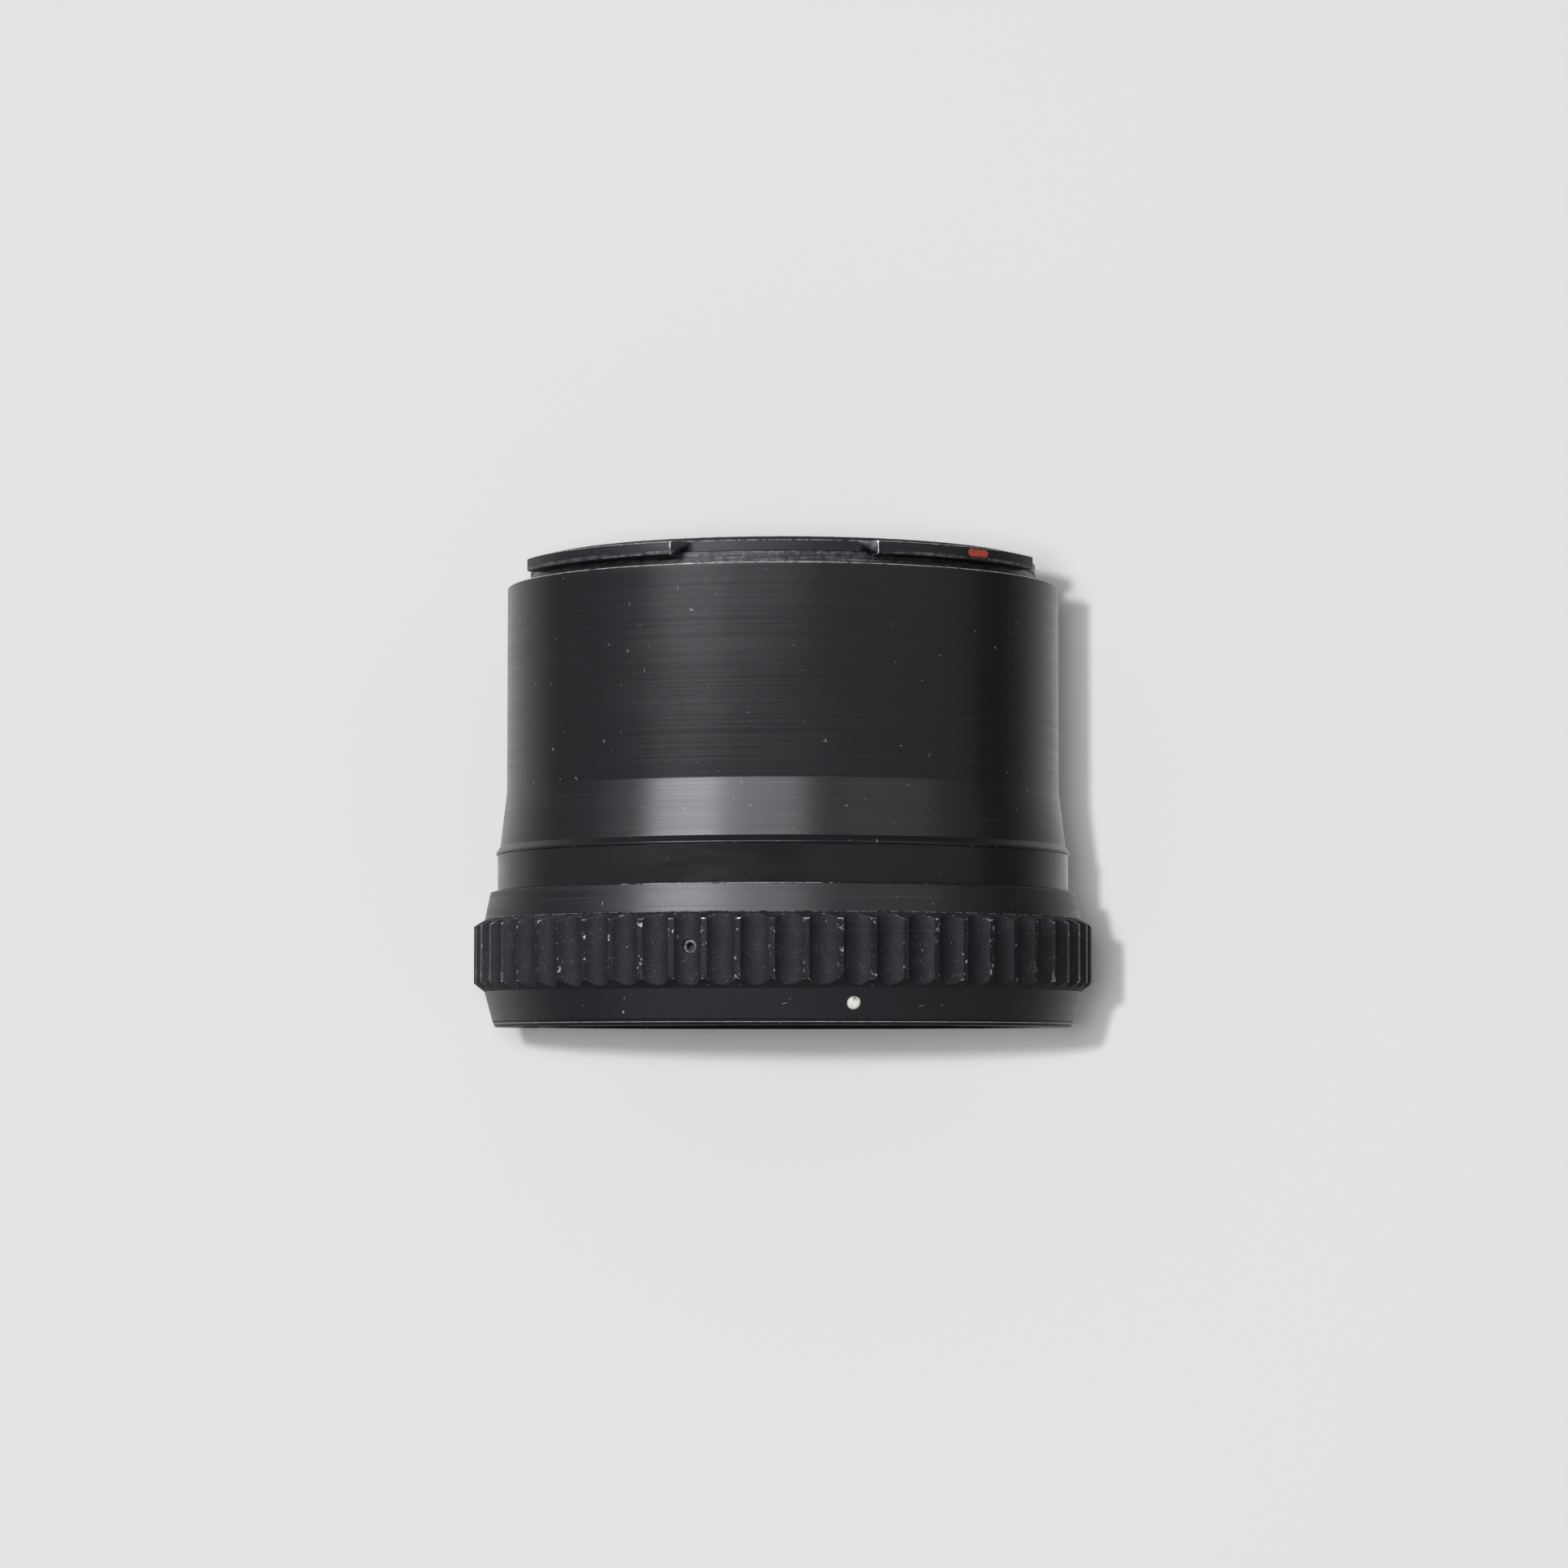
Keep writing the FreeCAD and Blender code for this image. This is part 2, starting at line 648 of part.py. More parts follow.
def front_bayonet():
    """Steel ring that makes the rim's face, with four tabs and a leaf pocket behind each."""
    solid = revolved([
        (chamber_radius, 0), (housing_radius, 0), (rim_edge_radius - rim_round_width, rim_round_height / 2),
        (rim_edge_radius, rim_round_height), (rim_edge_radius, rim_edge_height), (housing_radius, rim_edge_height),
        (housing_radius, tab_thickness), (chamber_radius, tab_thickness),
    ])
    tabs = [place(sector(throat_radius, chamber_radius + tab_root, tab_half_angle, tab_half_angle,
                         0, tab_thickness), angle) for angle in tab_angles]
    solid = solid.multiFuse(tabs).removeSplitter()
    stop = place(rod(stop_pin_radius + seat_gap, tab_thickness - rim_round_height - face_gap,
                     tab_thickness + over_cut, stop_circle), stop_angle)
    return cut_all(solid, leaf_set(seat_gap, over_cut) + rim_screw_set(screw_hole) + [stop])


def leaf_set(gap, extra_height):
    """The flat leaves, or with a gap the pockets that hold them."""
    inner = throat_radius + leaf_edge_inset - gap
    outer = lug_radius - leaf_edge_inset / 2 + gap
    half = leaf_half_angle + 2 * gap
    low = leaf_bottom - gap / 2
    return [place(sector(inner, outer, half, half, low, leaf_bottom + leaf_thickness + extra_height),
                  angle + leaf_offset_angle) for angle in tab_angles]


def bayonet_stop_pin():
    return place(rod(stop_pin_radius, tab_thickness - rim_round_height, chamber_depth + stop_pin_depth, stop_circle),
                 stop_angle)


# Drive shaft

def drive_shaft():
    """Plain shaft with a groove for each clip and a cross hole for each pin."""
    solid = shaft_rod(shaft_radius, front_hub_bottom + front_hub_floor, rear_hub_top - slot_depth - slot_floor)
    grooves = []
    for height in clip_heights:
        groove = ring(shaft_radius - clip_groove_depth, shaft_radius + over_cut,
                      height - face_gap, height + clip_thickness + face_gap)
        groove.translate(Vector(shaft_ring_radius, 0, 0))
        grooves.append(place(groove, shaft_angle))
    return cut_all(solid, grooves + [cross_pin(z, shaft_radius + over_cut, face_gap) for z in coupling_pin_heights])


def cross_pin(height, reach, gap=0.0):
    """Pin through the shaft, or with a gap the hole for it."""
    return place(radial_rod(coupling_pin_radius + gap, shaft_ring_radius - reach, shaft_ring_radius + reach, height),
                 shaft_angle)


def shaft_clips():
    """Open clips that hold the shaft endways between its bearings."""
    clips = []
    for height in clip_heights:
        clip = ring(shaft_radius - clip_groove_depth + face_gap, clip_radius, height, height + clip_thickness)
        mouth = Part.makeBox(clip_radius + over_cut, clip_mouth, clip_thickness + 2 * over_cut,
                             Vector(0, -clip_mouth / 2, height - over_cut))
        clip = clip.cut(mouth)
        clip.translate(Vector(shaft_ring_radius, 0, 0))
        clips.append(place(clip, shaft_angle))
    return Part.makeCompound(clips)


def rear_coupling():
    """Slotted hub that the camera's key turns."""
    hub = rod(hub_radius, rear_hub_bottom, rear_hub_top, shaft_ring_radius)
    hub = place(hub.makeChamfer(hub_edge_break, rim_edges(hub, rear_hub_top)), shaft_angle)
    bore_top = rear_hub_top - slot_depth - slot_floor + face_gap
    bore = shaft_rod(shaft_radius + face_gap, rear_hub_bottom - over_cut, bore_top)
    slot = place(block(shaft_ring_radius - hub_radius - over_cut, shaft_ring_radius + hub_radius + over_cut,
                       slot_width, rear_hub_top - slot_depth, rear_hub_top + over_cut), shaft_angle)
    return cut_all(hub, [bore, slot, cross_pin(coupling_pin_heights[1], hub_radius + over_cut, face_gap)])


def front_coupling():
    """Hub with the key that turns the lens's own shaft."""
    hub = shaft_rod(hub_radius, front_hub_bottom, front_hub_top)
    root = front_hub_bottom + seat_gap
    key = block(shaft_ring_radius - hub_radius, shaft_ring_radius + hub_radius, key_thickness, key_below_rim, root)
    key = place(key, shaft_angle).common(shaft_rod(hub_radius - key_inset, key_below_rim, root))
    bore = shaft_rod(shaft_radius + face_gap, front_hub_bottom + front_hub_floor - face_gap, front_hub_top + over_cut)
    solid = hub.fuse(key).removeSplitter()
    return cut_all(solid, [bore, cross_pin(coupling_pin_heights[0], hub_radius + over_cut, face_gap)])


def bush(flange_bottom, flange_top, body_end):
    """Flanged bearing bush."""
    low = min(flange_bottom, body_end)
    high = max(flange_top, body_end)
    body = shaft_rod(bush_outer_radius, low, high)
    flange = shaft_rod(hub_radius + swing_gap - seat_gap, flange_bottom, flange_top)
    return body.fuse(flange).removeSplitter().cut(shaft_rod(shaft_radius + running_gap, low - over_cut, high + over_cut))


def rear_bush():
    top = rear_hub_bottom - swing_gap
    return bush(top - bush_flange_thickness + face_gap, top, rear_boss_bottom)


def front_bush():
    bottom = front_hub_top + swing_gap
    return bush(bottom, bottom + bush_flange_thickness - face_gap, front_boss_top)


def shaft_cover():
    """Pressed trough that shields the light path from the shaft, with two feet on the barrel's wall."""
    outer = cover_inner_radius + cover_wall
    shell = rod(outer, cover_bottom, cover_top, shaft_ring_radius).fuse(
        block(shaft_ring_radius, cover_seat_radius + over_cut, 2 * outer, cover_bottom, cover_top))
    space = rod(cover_inner_radius, cover_bottom - over_cut, cover_top + over_cut, shaft_ring_radius).fuse(
        block(shaft_ring_radius, cover_seat_radius + 2 * over_cut, 2 * cover_inner_radius,
              cover_bottom - over_cut, cover_top + over_cut))
    feet = ring(cover_seat_radius - cover_foot_thickness, cover_seat_radius, foot_bottom, foot_top).common(
        block(0, cover_seat_radius + over_cut, 2 * cover_foot_reach, foot_bottom, foot_top))
    bounds = rod(front_plate_outer, cover_bottom, spigot_bottom).fuse(rod(cover_seat_radius, spigot_bottom, cover_top))
    solid = shell.common(bounds).fuse(feet).cut(space).removeSplitter()
    return cut_all(place(solid, shaft_angle), cover_screw_set(screw_hole))


# Lens catch

def catch_block():
    """Slides in the housing's pocket, drilled for the pin, the spring and the button's screw."""
    solid = block(block_inner, block_outer + over_cut, block_width, block_bottom, block_top)
    solid = solid.common(rod(block_outer, block_bottom, block_top))
    pin = rod(lock_pin_radius + face_gap, block_bottom - over_cut, lock_pin_top + face_gap, lock_pin_circle)
    spring = rod(spring_hole_radius, spring_bottom, block_top + over_cut, spring_circle)
    return cut_all(place(solid, catch_angle),
                   [place(pin, catch_angle), place(spring, catch_angle), button_screw_piece(screw_hole)])


def lock_pin():
    """Pin with a broken nose that drops into the lens lug's notch."""
    solid = rod(lock_pin_radius, lock_pin_tip, lock_pin_top, lock_pin_circle)
    return place(solid.makeChamfer(lock_pin_nose, rim_edges(solid, lock_pin_tip)), catch_angle)


def release_button():
    """Ribbed slide that the photographer's thumb pushes towards the camera."""
    solid = block(button_foot - over_cut, button_top_radius, button_width, button_bottom, button_top)
    outer = [e for e in solid.Edges if all(abs(v.X - button_top_radius) < face_gap for v in e.Vertexes)]
    solid = solid.makeChamfer(button_edge_break, outer)
    step = button_height / button_ridge_count
    clear = small_screw_head_radius + 2 * slide_gap
    grooves = []
    for k in range(button_ridge_count):
        low = button_bottom + step * (k + 0.5) - button_ridge_width / 2
        for start in (clear, -clear - button_width):
            grooves.append(Part.makeBox(over_cut, button_width, button_ridge_width,
                                        Vector(button_top_radius - button_ridge_depth, start, low)))
    under = rod(button_foot, button_bottom - over_cut, button_top + over_cut)
    return place(cut_all(solid, grooves + [under]), catch_angle).cut(button_screw_piece(screw_hole))


def catch_spring():
    """Round-wire compression spring as one tube along quarter-turn arcs."""
    pitch = (spring_length - 2 * spring_wire_radius) / spring_turns
    steps = 8
    low = spring_bottom + spring_wire_radius

    def on_coil(step):
        turn = 2 * math.pi * step / steps
        return Vector(spring_mean_radius * math.cos(turn), spring_mean_radius * math.sin(turn),
                      low + pitch * step / steps)

    arcs = [Part.Arc(on_coil(k), on_coil(k + 1), on_coil(k + 2)).toShape()
            for k in range(0, steps * spring_turns, 2)]
    path = Part.Wire(arcs)
    start = path.Edges[0].tangentAt(path.Edges[0].FirstParameter)
    profile = Part.Wire([Part.Circle(on_coil(0), start, spring_wire_radius).toShape()])
    coil = path.makePipeShell([profile], True, False)
    points = [on_coil(k / 4) for k in range(4 * steps * spring_turns + 1)]
    apart = 3 * steps
    gaps = [(a - b).Length for i, a in enumerate(points) for b in points[i + apart:]]
    print("least gap between the catch spring's curls", round(min(gaps) - 2 * spring_wire_radius, 3))
    coil.translate(Vector(spring_circle, 0, 0))
    return place(coil, catch_angle)


def group(pieces):
    return pieces[0] if len(pieces) == 1 else Part.makeCompound(pieces)


parts = {
    "main_barrel": main_barrel,
    "front_housing": front_housing,
    "grip_ring": grip_ring,
    "grip_set_screws": grip_set_screws,
    "name_band": name_band,
    "white_index_dot": white_index_dot,
    "rear_bayonet": rear_bayonet,
    "red_index_mark": red_index_mark,
    "rear_plate": rear_plate,
    "rear_plate_screws": lambda: group(rear_plate_screw_set(countersunk_screw)),
    "front_bayonet": front_bayonet,
    "front_bayonet_screws": lambda: group(rim_screw_set(countersunk_screw)),
    "bayonet_springs": lambda: group(leaf_set(0.0, 0.0)),
    "bayonet_stop_pin": bayonet_stop_pin,
    "front_plate": front_plate,
    "front_plate_screws": lambda: group(front_plate_screw_set(countersunk_screw)),
    "drive_shaft": drive_shaft,
    "rear_coupling": rear_coupling,
    "front_coupling": front_coupling,
    "coupling_pins": lambda: group([cross_pin(z, hub_radius - swing_gap) for z in coupling_pin_heights]),
    "rear_bush": rear_bush,
    "front_bush": front_bush,
    "shaft_clips": shaft_clips,
    "shaft_cover": shaft_cover,
    "shaft_cover_screws": lambda: group(cover_screw_set(countersunk_screw)),
    "catch_block": catch_block,
    "lock_pin": lock_pin,
    "release_button": release_button,
    "release_button_screw": lambda: button_screw_piece(countersunk_screw),
    "catch_spring": catch_spring,
}

os.makedirs("parts", exist_ok=True)
for name, make in parts.items():
    shape = make()
    shape.exportStep("parts/" + name + ".step")
    print(name, "valid" if shape.isValid() else "NOT VALID", len(shape.Solids), round(shape.Volume, 2))
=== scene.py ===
"""Looks of a 55 mm macro extension tube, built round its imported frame."""

import math

import bpy
from mathutils import Matrix, Vector


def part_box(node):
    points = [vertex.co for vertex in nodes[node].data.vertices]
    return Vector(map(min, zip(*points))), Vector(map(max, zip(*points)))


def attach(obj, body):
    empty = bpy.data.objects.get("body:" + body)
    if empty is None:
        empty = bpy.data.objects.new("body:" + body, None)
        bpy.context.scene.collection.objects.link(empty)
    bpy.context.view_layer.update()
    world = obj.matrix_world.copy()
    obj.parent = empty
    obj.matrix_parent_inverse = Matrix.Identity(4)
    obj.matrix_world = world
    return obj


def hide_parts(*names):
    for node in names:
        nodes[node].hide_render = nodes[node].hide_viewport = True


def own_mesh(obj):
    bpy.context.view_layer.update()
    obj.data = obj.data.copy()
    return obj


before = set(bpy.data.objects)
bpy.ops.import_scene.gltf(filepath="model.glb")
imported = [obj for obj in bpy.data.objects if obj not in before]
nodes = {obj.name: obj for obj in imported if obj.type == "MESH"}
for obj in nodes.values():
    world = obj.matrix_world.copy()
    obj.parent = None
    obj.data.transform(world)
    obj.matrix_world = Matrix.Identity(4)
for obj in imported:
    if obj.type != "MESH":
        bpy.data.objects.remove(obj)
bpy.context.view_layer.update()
MM = 0.001

# Sizes in mm, taken from the frame where a node's box gives them
spigot_bottom, flange_to_rim = (corner.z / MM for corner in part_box("main_barrel"))
grip_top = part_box("grip_ring")[1].z / MM
neck_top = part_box("rear_bayonet")[1].z / MM

neck_radius = 31.8
neck_bore_radius = 30.2
groove_radius = 31.65
groove_top = flange_to_rim + 1.7
neck_chamfer_height = 0.5
neck_chamfer_width = 0.45
neck_fillet = 0.3
lug_radius = 33.65
lug_count = 4
lug_end_rise = 1.4
lug_bottom = flange_to_rim + 1.25
lug_top = lug_bottom + 1.6
opening_radius = 27.4
ledge_top = flange_to_rim + 0.6
bayonet_seat = 53.4
base_flange_radius = 33.4

barrel_radius = 34.67
barrel_bore_radius = 32.2
spigot_radius = 34.0
inner_flange_bottom = 50.4
flare_top = 29.4
flare_foot_radius = 35.5
lip_radius = 36.0
lip_edge_height = 0.25
lip_top = 22.5
band_top = 21.5
band_bottom = 16.9
band_radius = 35.8
band_bore_radius = 35.0
glare_groove_count = 5
glare_groove_pitch = 4.2
glare_groove_half_width = 0.6
glare_groove_depth = 0.4

collar_top = 16.77
collar_top_radius = 36.7
housing_radius = 35.9
housing_bore_radius = 31.2
chamber_radius = 33.85
chamber_depth = 4.2
ledge_front = 6.0
ledge_back = 8.0
rim_edge_radius = 36.4
rim_edge_height = 0.7
rim_worn_height = 0.42
rim_worn_radius = 36.3
rim_cone_top = 4.37
rim_cone_top_radius = 37.4
tab_thickness = 1.2
throat_radius = 31.9

flutes_bottom = 5.44
flutes_top = 12.54
flute_count = 60
flute_cutter_radius = 2.03
valley_radius = 37.8
grip_radius = 38.73
grip_bore_radius = 35.95
button_window_width = 6.0
button_window_bottom = 5.8
button_window_top = 12.8
catch_pocket_size = 6.8
catch_pocket_height = 9.2
catch_pocket_radius = housing_radius - 0.4

spring_circle = 34.125
spring_bottom = 8.4
spring_top = 14.4
spring_mean_radius = 1.05
spring_wire_radius = 0.22
spring_turns = 4

dot_radius = 0.86
dot_height = 2.6
dot_depth = 0.25
set_screw_radius = 0.8
set_screw_length = 2.0
set_screw_height = 9.24
set_screw_face_radius = 37.65
set_screw_socket_radius = 0.5
set_screw_socket_depth = 0.8
mark_length = 3.5
mark_height = 0.95
mark_middle = (lug_bottom + lug_top) / 2 + 0.12

shaft_ring_radius = 25.6
boss_hole_radius = 5.1

# Angles in degrees about the axis, from the camera's side towards +X
index_angle = 13.1
lug_step = 360 / lug_count
lug_angles = [index_angle + 30 + lug_step * k for k in range(lug_count)]
tab_angles = [index_angle + lug_step * (k + 0.5) for k in range(lug_count)]
mark_angle = index_angle + 31.7
catch_angle = lug_angles[1]
shaft_angle = index_angle + 180
set_screw_angles = [index_angle - 30 + 120 * k for k in range(3)]
# The collar's top edge is worn all round, and painted paler round this angle as a painted highlight on its
# lit side
collar_wear_and_highlight_middle = -11

# Widths in degrees about the axis
lug_half_angle = 26.65
lug_run_out = 3.4
lug_notch_half_angle = 1.7
tab_half_angle = 17.85
flute_pitch = 360 / flute_count
collar_wear_and_highlight_half = 25
collar_wear_and_highlight_fade = 12

# Share of a lug's reach that is left in its notch, and of the collar's wear and painted highlight away from
# its lit side
lug_notch_share = 0.3
collar_wear_and_highlight_least = 0.6

# Clearances in mm, and the columns of a turned mesh
gap = 0.02
seat_clearance = 0.05
axis_radius = 0.02
full_turn_columns = 300
neck_columns = 240
boss_columns = 64
small_turn_columns = 48

# How far cutters reach inwards and outwards from their places, in mm
pocket_reach = (-3.6, 3.2)
screw_hole_reach = (-2, 3)
window_reach = (-4, 4)
dot_reach = (-dot_depth, 1)
wall_margin = 1


# Mesh tools

def on_ring(radius, angle, height=0.0):
    """Place in metres from a radius and height in mm."""
    turn = math.radians(angle)
    return Vector((radius * math.sin(turn), -radius * math.cos(turn), height)) * MM


def apart(angle, other):
    """Degrees between two directions about the axis."""
    return abs((angle - other + 180) % 360 - 180)


def softened(corners):
    """Outline of (radius, height, wear) from corners of (radius, height, setback, wear), each rounded.

    A corner with no setback stays sharp, and one with no wear given is half worn.
    """
    most_of_side = 0.45
    outline = []
    for k, (r, z, setback, *amount) in enumerate(corners):
        worn = amount[0] if amount else 0.5
        here = Vector((r, z))
        if not setback:
            outline.append((r, z, 0.0))
            continue
        before = Vector(corners[k - 1][:2]) - here
        after = Vector(corners[(k + 1) % len(corners)][:2]) - here
        start = here + before.normalized() * min(setback, before.length * most_of_side)
        end = here + after.normalized() * min(setback, after.length * most_of_side)
        for s, share in ((0, 0.0), (0.25, 0.8), (0.5, 1.0), (0.75, 0.8), (1, 0.0)):
            p = start * (1 - s) ** 2 + here * 2 * s * (1 - s) + end * s ** 2
            outline.append((p.x, p.y, share * worn))
    return outline


def even_angles(count):
    return [360 * k / count for k in range(count)]


def beside(centre, offsets):
    """Angles at some offsets on both sides of a centre."""
    return [(centre + side * offset) % 360 for side in (-1, 1) for offset in offsets]


def linked(thing):
    bpy.context.collection.objects.link(thing)
    return thing


def meshed(name, places, faces, wear=None, matrix=None):
    """Object that is in no collection yet, from places in metres and the wear at each of them."""
    mesh = bpy.data.meshes.new(name)
    mesh.from_pydata(places, [], faces)
    if wear:
        mesh.attributes.new("wear", "FLOAT", "POINT").data.foreach_set("value", wear)
    if matrix:
        mesh.transform(matrix)
    return bpy.data.objects.new(name, mesh)


def stacked_faces(layers, count):
    """Faces of a closed solid whose layers are loops of count places."""
    faces = [tuple(reversed(range(count))), tuple(range((layers - 1) * count, layers * count))]
    for layer in range(layers - 1):
        for k in range(count):
            a = layer * count + k
            b = layer * count + (k + 1) % count
            faces.append((a, b, b + count, a + count))
    return faces


def turned(name, outline, angles=None, matrix=None):
    """Closed outline, anticlockwise, turned about the axis. It may be a function of the angle."""
    angles = angles or even_angles(full_turn_columns)
    rows = [outline(a) if callable(outline) else outline for a in angles]
    count = len(rows[0])
    places = [on_ring(r, a, z) for a, row in zip(angles, rows) for r, z, _ in row]
    faces = []
    for i in range(len(angles)):
        j = (i + 1) % len(angles)
        for k in range(count):
            m = (k + 1) % count
            faces.append((i * count + k, j * count + k, j * count + m, i * count + m))
    wear = [worn for row in rows for _, _, worn in row]
    return linked(meshed(name, places, faces, wear, matrix))


def outward(angle, radius, height, tilt=0.0):
    """Matrix that stands local +Z outwards at a place on the side, tilted down by some degrees."""
    turn = Matrix.Rotation(math.radians(angle), 4, "Z")
    lie = Matrix.Rotation(math.radians(90 + tilt), 4, "X")
    return Matrix.Translation(on_ring(radius, angle, height)) @ turn @ lie


def prism(points, bottom, top, matrix=None):
    """Closed prism over a polygon given in mm, as a cutter for cut()."""
    places = [Vector((x, y, z)) * MM for z in (bottom, top) for x, y in points]
    return meshed("cutter", places, stacked_faces(2, len(points)), matrix=matrix)


def disc(radius, count=32):
    turns = [math.radians(a) for a in even_angles(count)]
    return [(radius * math.cos(turn), radius * math.sin(turn)) for turn in turns]


def rectangle(width, height):
    x, y = width / 2, height / 2
    return [(-x, -y), (x, -y), (x, y), (-x, y)]


def shaft_hole(bottom, top):
    """Cutter that makes room for a boss of the drive shaft."""
    place = Matrix.Translation(on_ring(shaft_ring_radius, shaft_angle))
    return prism(disc(boss_hole_radius, boss_columns), bottom, top, place)


def cut(piece, cutters):
    """Takes the cutters out of the piece's mesh."""
    group = bpy.data.collections.new("cutters")
    bpy.context.scene.collection.children.link(group)
    for cutter in cutters:
        group.objects.link(cutter)
    modifier = piece.modifiers.new("cut", "BOOLEAN")
    modifier.operation = "DIFFERENCE"
    modifier.operand_type = "COLLECTION"
    modifier.collection = group
    modifier.solver = "EXACT"
    bpy.context.view_layer.update()
    result = bpy.data.meshes.new_from_object(piece.evaluated_get(bpy.context.evaluated_depsgraph_get()))
    piece.modifiers.clear()
    piece.data = result
    for cutter in cutters:
        bpy.data.objects.remove(cutter)
    bpy.data.collections.remove(group)


def finished(piece, material, body, slot, *replaced, sharp=35):
    """Gives a new piece its shading, material and body, and hides the nodes it stands for. The finish slot
    is not used.
    """
    piece.data.shade_smooth()
    piece.data.set_sharp_from_angle(angle=math.radians(sharp))
    weighted = piece.modifiers.new("weighted normals", "WEIGHTED_NORMAL")
    weighted.keep_sharp = True
    piece.data.materials.clear()
    piece.data.materials.append(material)
    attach(piece, body)
    if replaced:
        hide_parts(*replaced)
    return piece


# Material tools

class Shader:
    """Short way to write one material's nodes."""

    def __init__(self, name):
        self.material = bpy.data.materials.new(name)
        self.material.use_nodes = True
        self.nodes = self.material.node_tree.nodes
        self.links = self.material.node_tree.links
        self.surface = self.nodes["Principled BSDF"]

    def node(self, kind, inputs=None, **settings):
        node = self.nodes.new("ShaderNode" + kind)
        for key, value in settings.items():
            setattr(node, key, value)
        for key, value in (inputs or {}).items():
            self.put(node.inputs[key], value)
        return node

    def put(self, socket, value):
        if isinstance(value, bpy.types.NodeSocket):
            self.links.new(value, socket)
        else:
            socket.default_value = value

    def math(self, operation, a, b=0.0, clamp=False):
        return self.node("Math", {0: a, 1: b}, operation=operation, use_clamp=clamp).outputs[0]

    def step(self, value, low, high, bottom=0.0, top=1.0):
        """Smooth rise from bottom to top as the value goes from low to high."""
        inputs = {"Value": value, "From Min": low, "From Max": high, "To Min": bottom, "To Max": top}
        return self.node("MapRange", inputs, interpolation_type="SMOOTHSTEP").outputs[0]

    def place(self, scale=(1.0, 1.0, 1.0)):
        """Object space in mm, stretched by the scale."""
        place = self.node("TexCoord").outputs["Object"]
        scale = tuple(s / MM for s in scale)
        return self.node("Mapping", {"Vector": place, "Scale": scale}).outputs[0]

    def noise(self, scale, detail=2.0, roughness=0.5, stretch=(1.0, 1.0, 1.0)):
        """Noise with a number of waves per mm."""
        inputs = {"Vector": self.place(stretch), "Scale": scale, "Detail": detail, "Roughness": roughness}
        return self.node("TexNoise", inputs).outputs[0]

    def wear(self):
        """Wear that the mesh holds for its softened edges."""
        return self.node("Attribute", attribute_name="wear").outputs["Fac"]

    def height(self):
        """Height in mm above the lens side."""
        return self.node("SeparateXYZ", {0: self.place()}).outputs["Z"]

    def radius(self):
        """Distance in mm from the axis."""
        across = self.place((1.0, 1.0, 0.0))
        return self.node("VectorMath", {0: across}, operation="LENGTH").outputs["Value"]

    def between(self, low, high, soft=0.06):
        """One at heights from low to high and nought elsewhere."""
        z = self.height()
        over = self.step(z, low - soft, low + soft)
        under = self.step(z, high - soft, high + soft, 1.0, 0.0)
        return self.math("MULTIPLY", over, under)

    def mix(self, factor, a, b):
        """Colour that goes from a to b by the factor."""
        node = self.nodes.new("ShaderNodeMix")
        node.data_type = "RGBA"
        self.put(node.inputs[0], factor)
        self.put(node.inputs[6], a)
        self.put(node.inputs[7], b)
        return node.outputs[2]

    def bump(self, height, distance, strength=1.0):
        """Distance in mm."""
        inputs = {"Height": height, "Distance": distance * MM, "Strength": strength}
        return self.node("Bump", inputs).outputs[0]

    def set(self, **values):
        """Fills the surface's sockets and gives the material."""
        for key, value in values.items():
            self.put(self.surface.inputs[key.replace("_", " ").title().replace("Ior", "IOR")], value)
        return self.material


def grey(level, blue=0.0):
    """Grey whose blue is raised by a share, and its green by a third of that."""
    return (level, level * (1 + blue / 3), level * (1 + blue), 1.0)


ALUMINIUM = (0.62, 0.62, 0.61, 1.0)
RUBBED_BLACK = grey(0.15, 0.04)
CRUMBS = grey(0.09, 0.05)
BLACK_BLUE = 0.34

# Stretch of noise into turning marks: waves per mm across the tube, twice, and along it
fine_turning = (0.012, 0.012, 4.2)
long_turning = (0.006, 0.006, 2.4)
rubbed_turning = (0.12, 0.12, 5.0)


def dust(s, size, share, cells_per_mm):
    """Small pale specks of a size in mm: the middles of a few cells of a cell pattern."""
    cells = s.node("TexVoronoi", {"Vector": s.place(), "Scale": cells_per_mm, "Randomness": 1.0})
    near = s.math("LESS_THAN", cells.outputs["Distance"], size * cells_per_mm)
    split = s.node("SeparateColor", {"Color": cells.outputs["Color"]})
    return s.math("MULTIPLY", near, s.math("LESS_THAN", split.outputs[0], share))


def hairs(s, width, share, cells_per_mm=0.7):
    """Short bits of the lines between cells, as fine fibres and scratches."""
    lines = s.node("TexVoronoi", {"Vector": s.place(), "Scale": cells_per_mm}, feature="DISTANCE_TO_EDGE")
    near = s.math("LESS_THAN", lines.outputs["Distance"], width * cells_per_mm)
    bend = s.noise(1.1, 1.0, 0.5)
    return s.math("MULTIPLY", near, s.step(bend, share, share + 0.01))


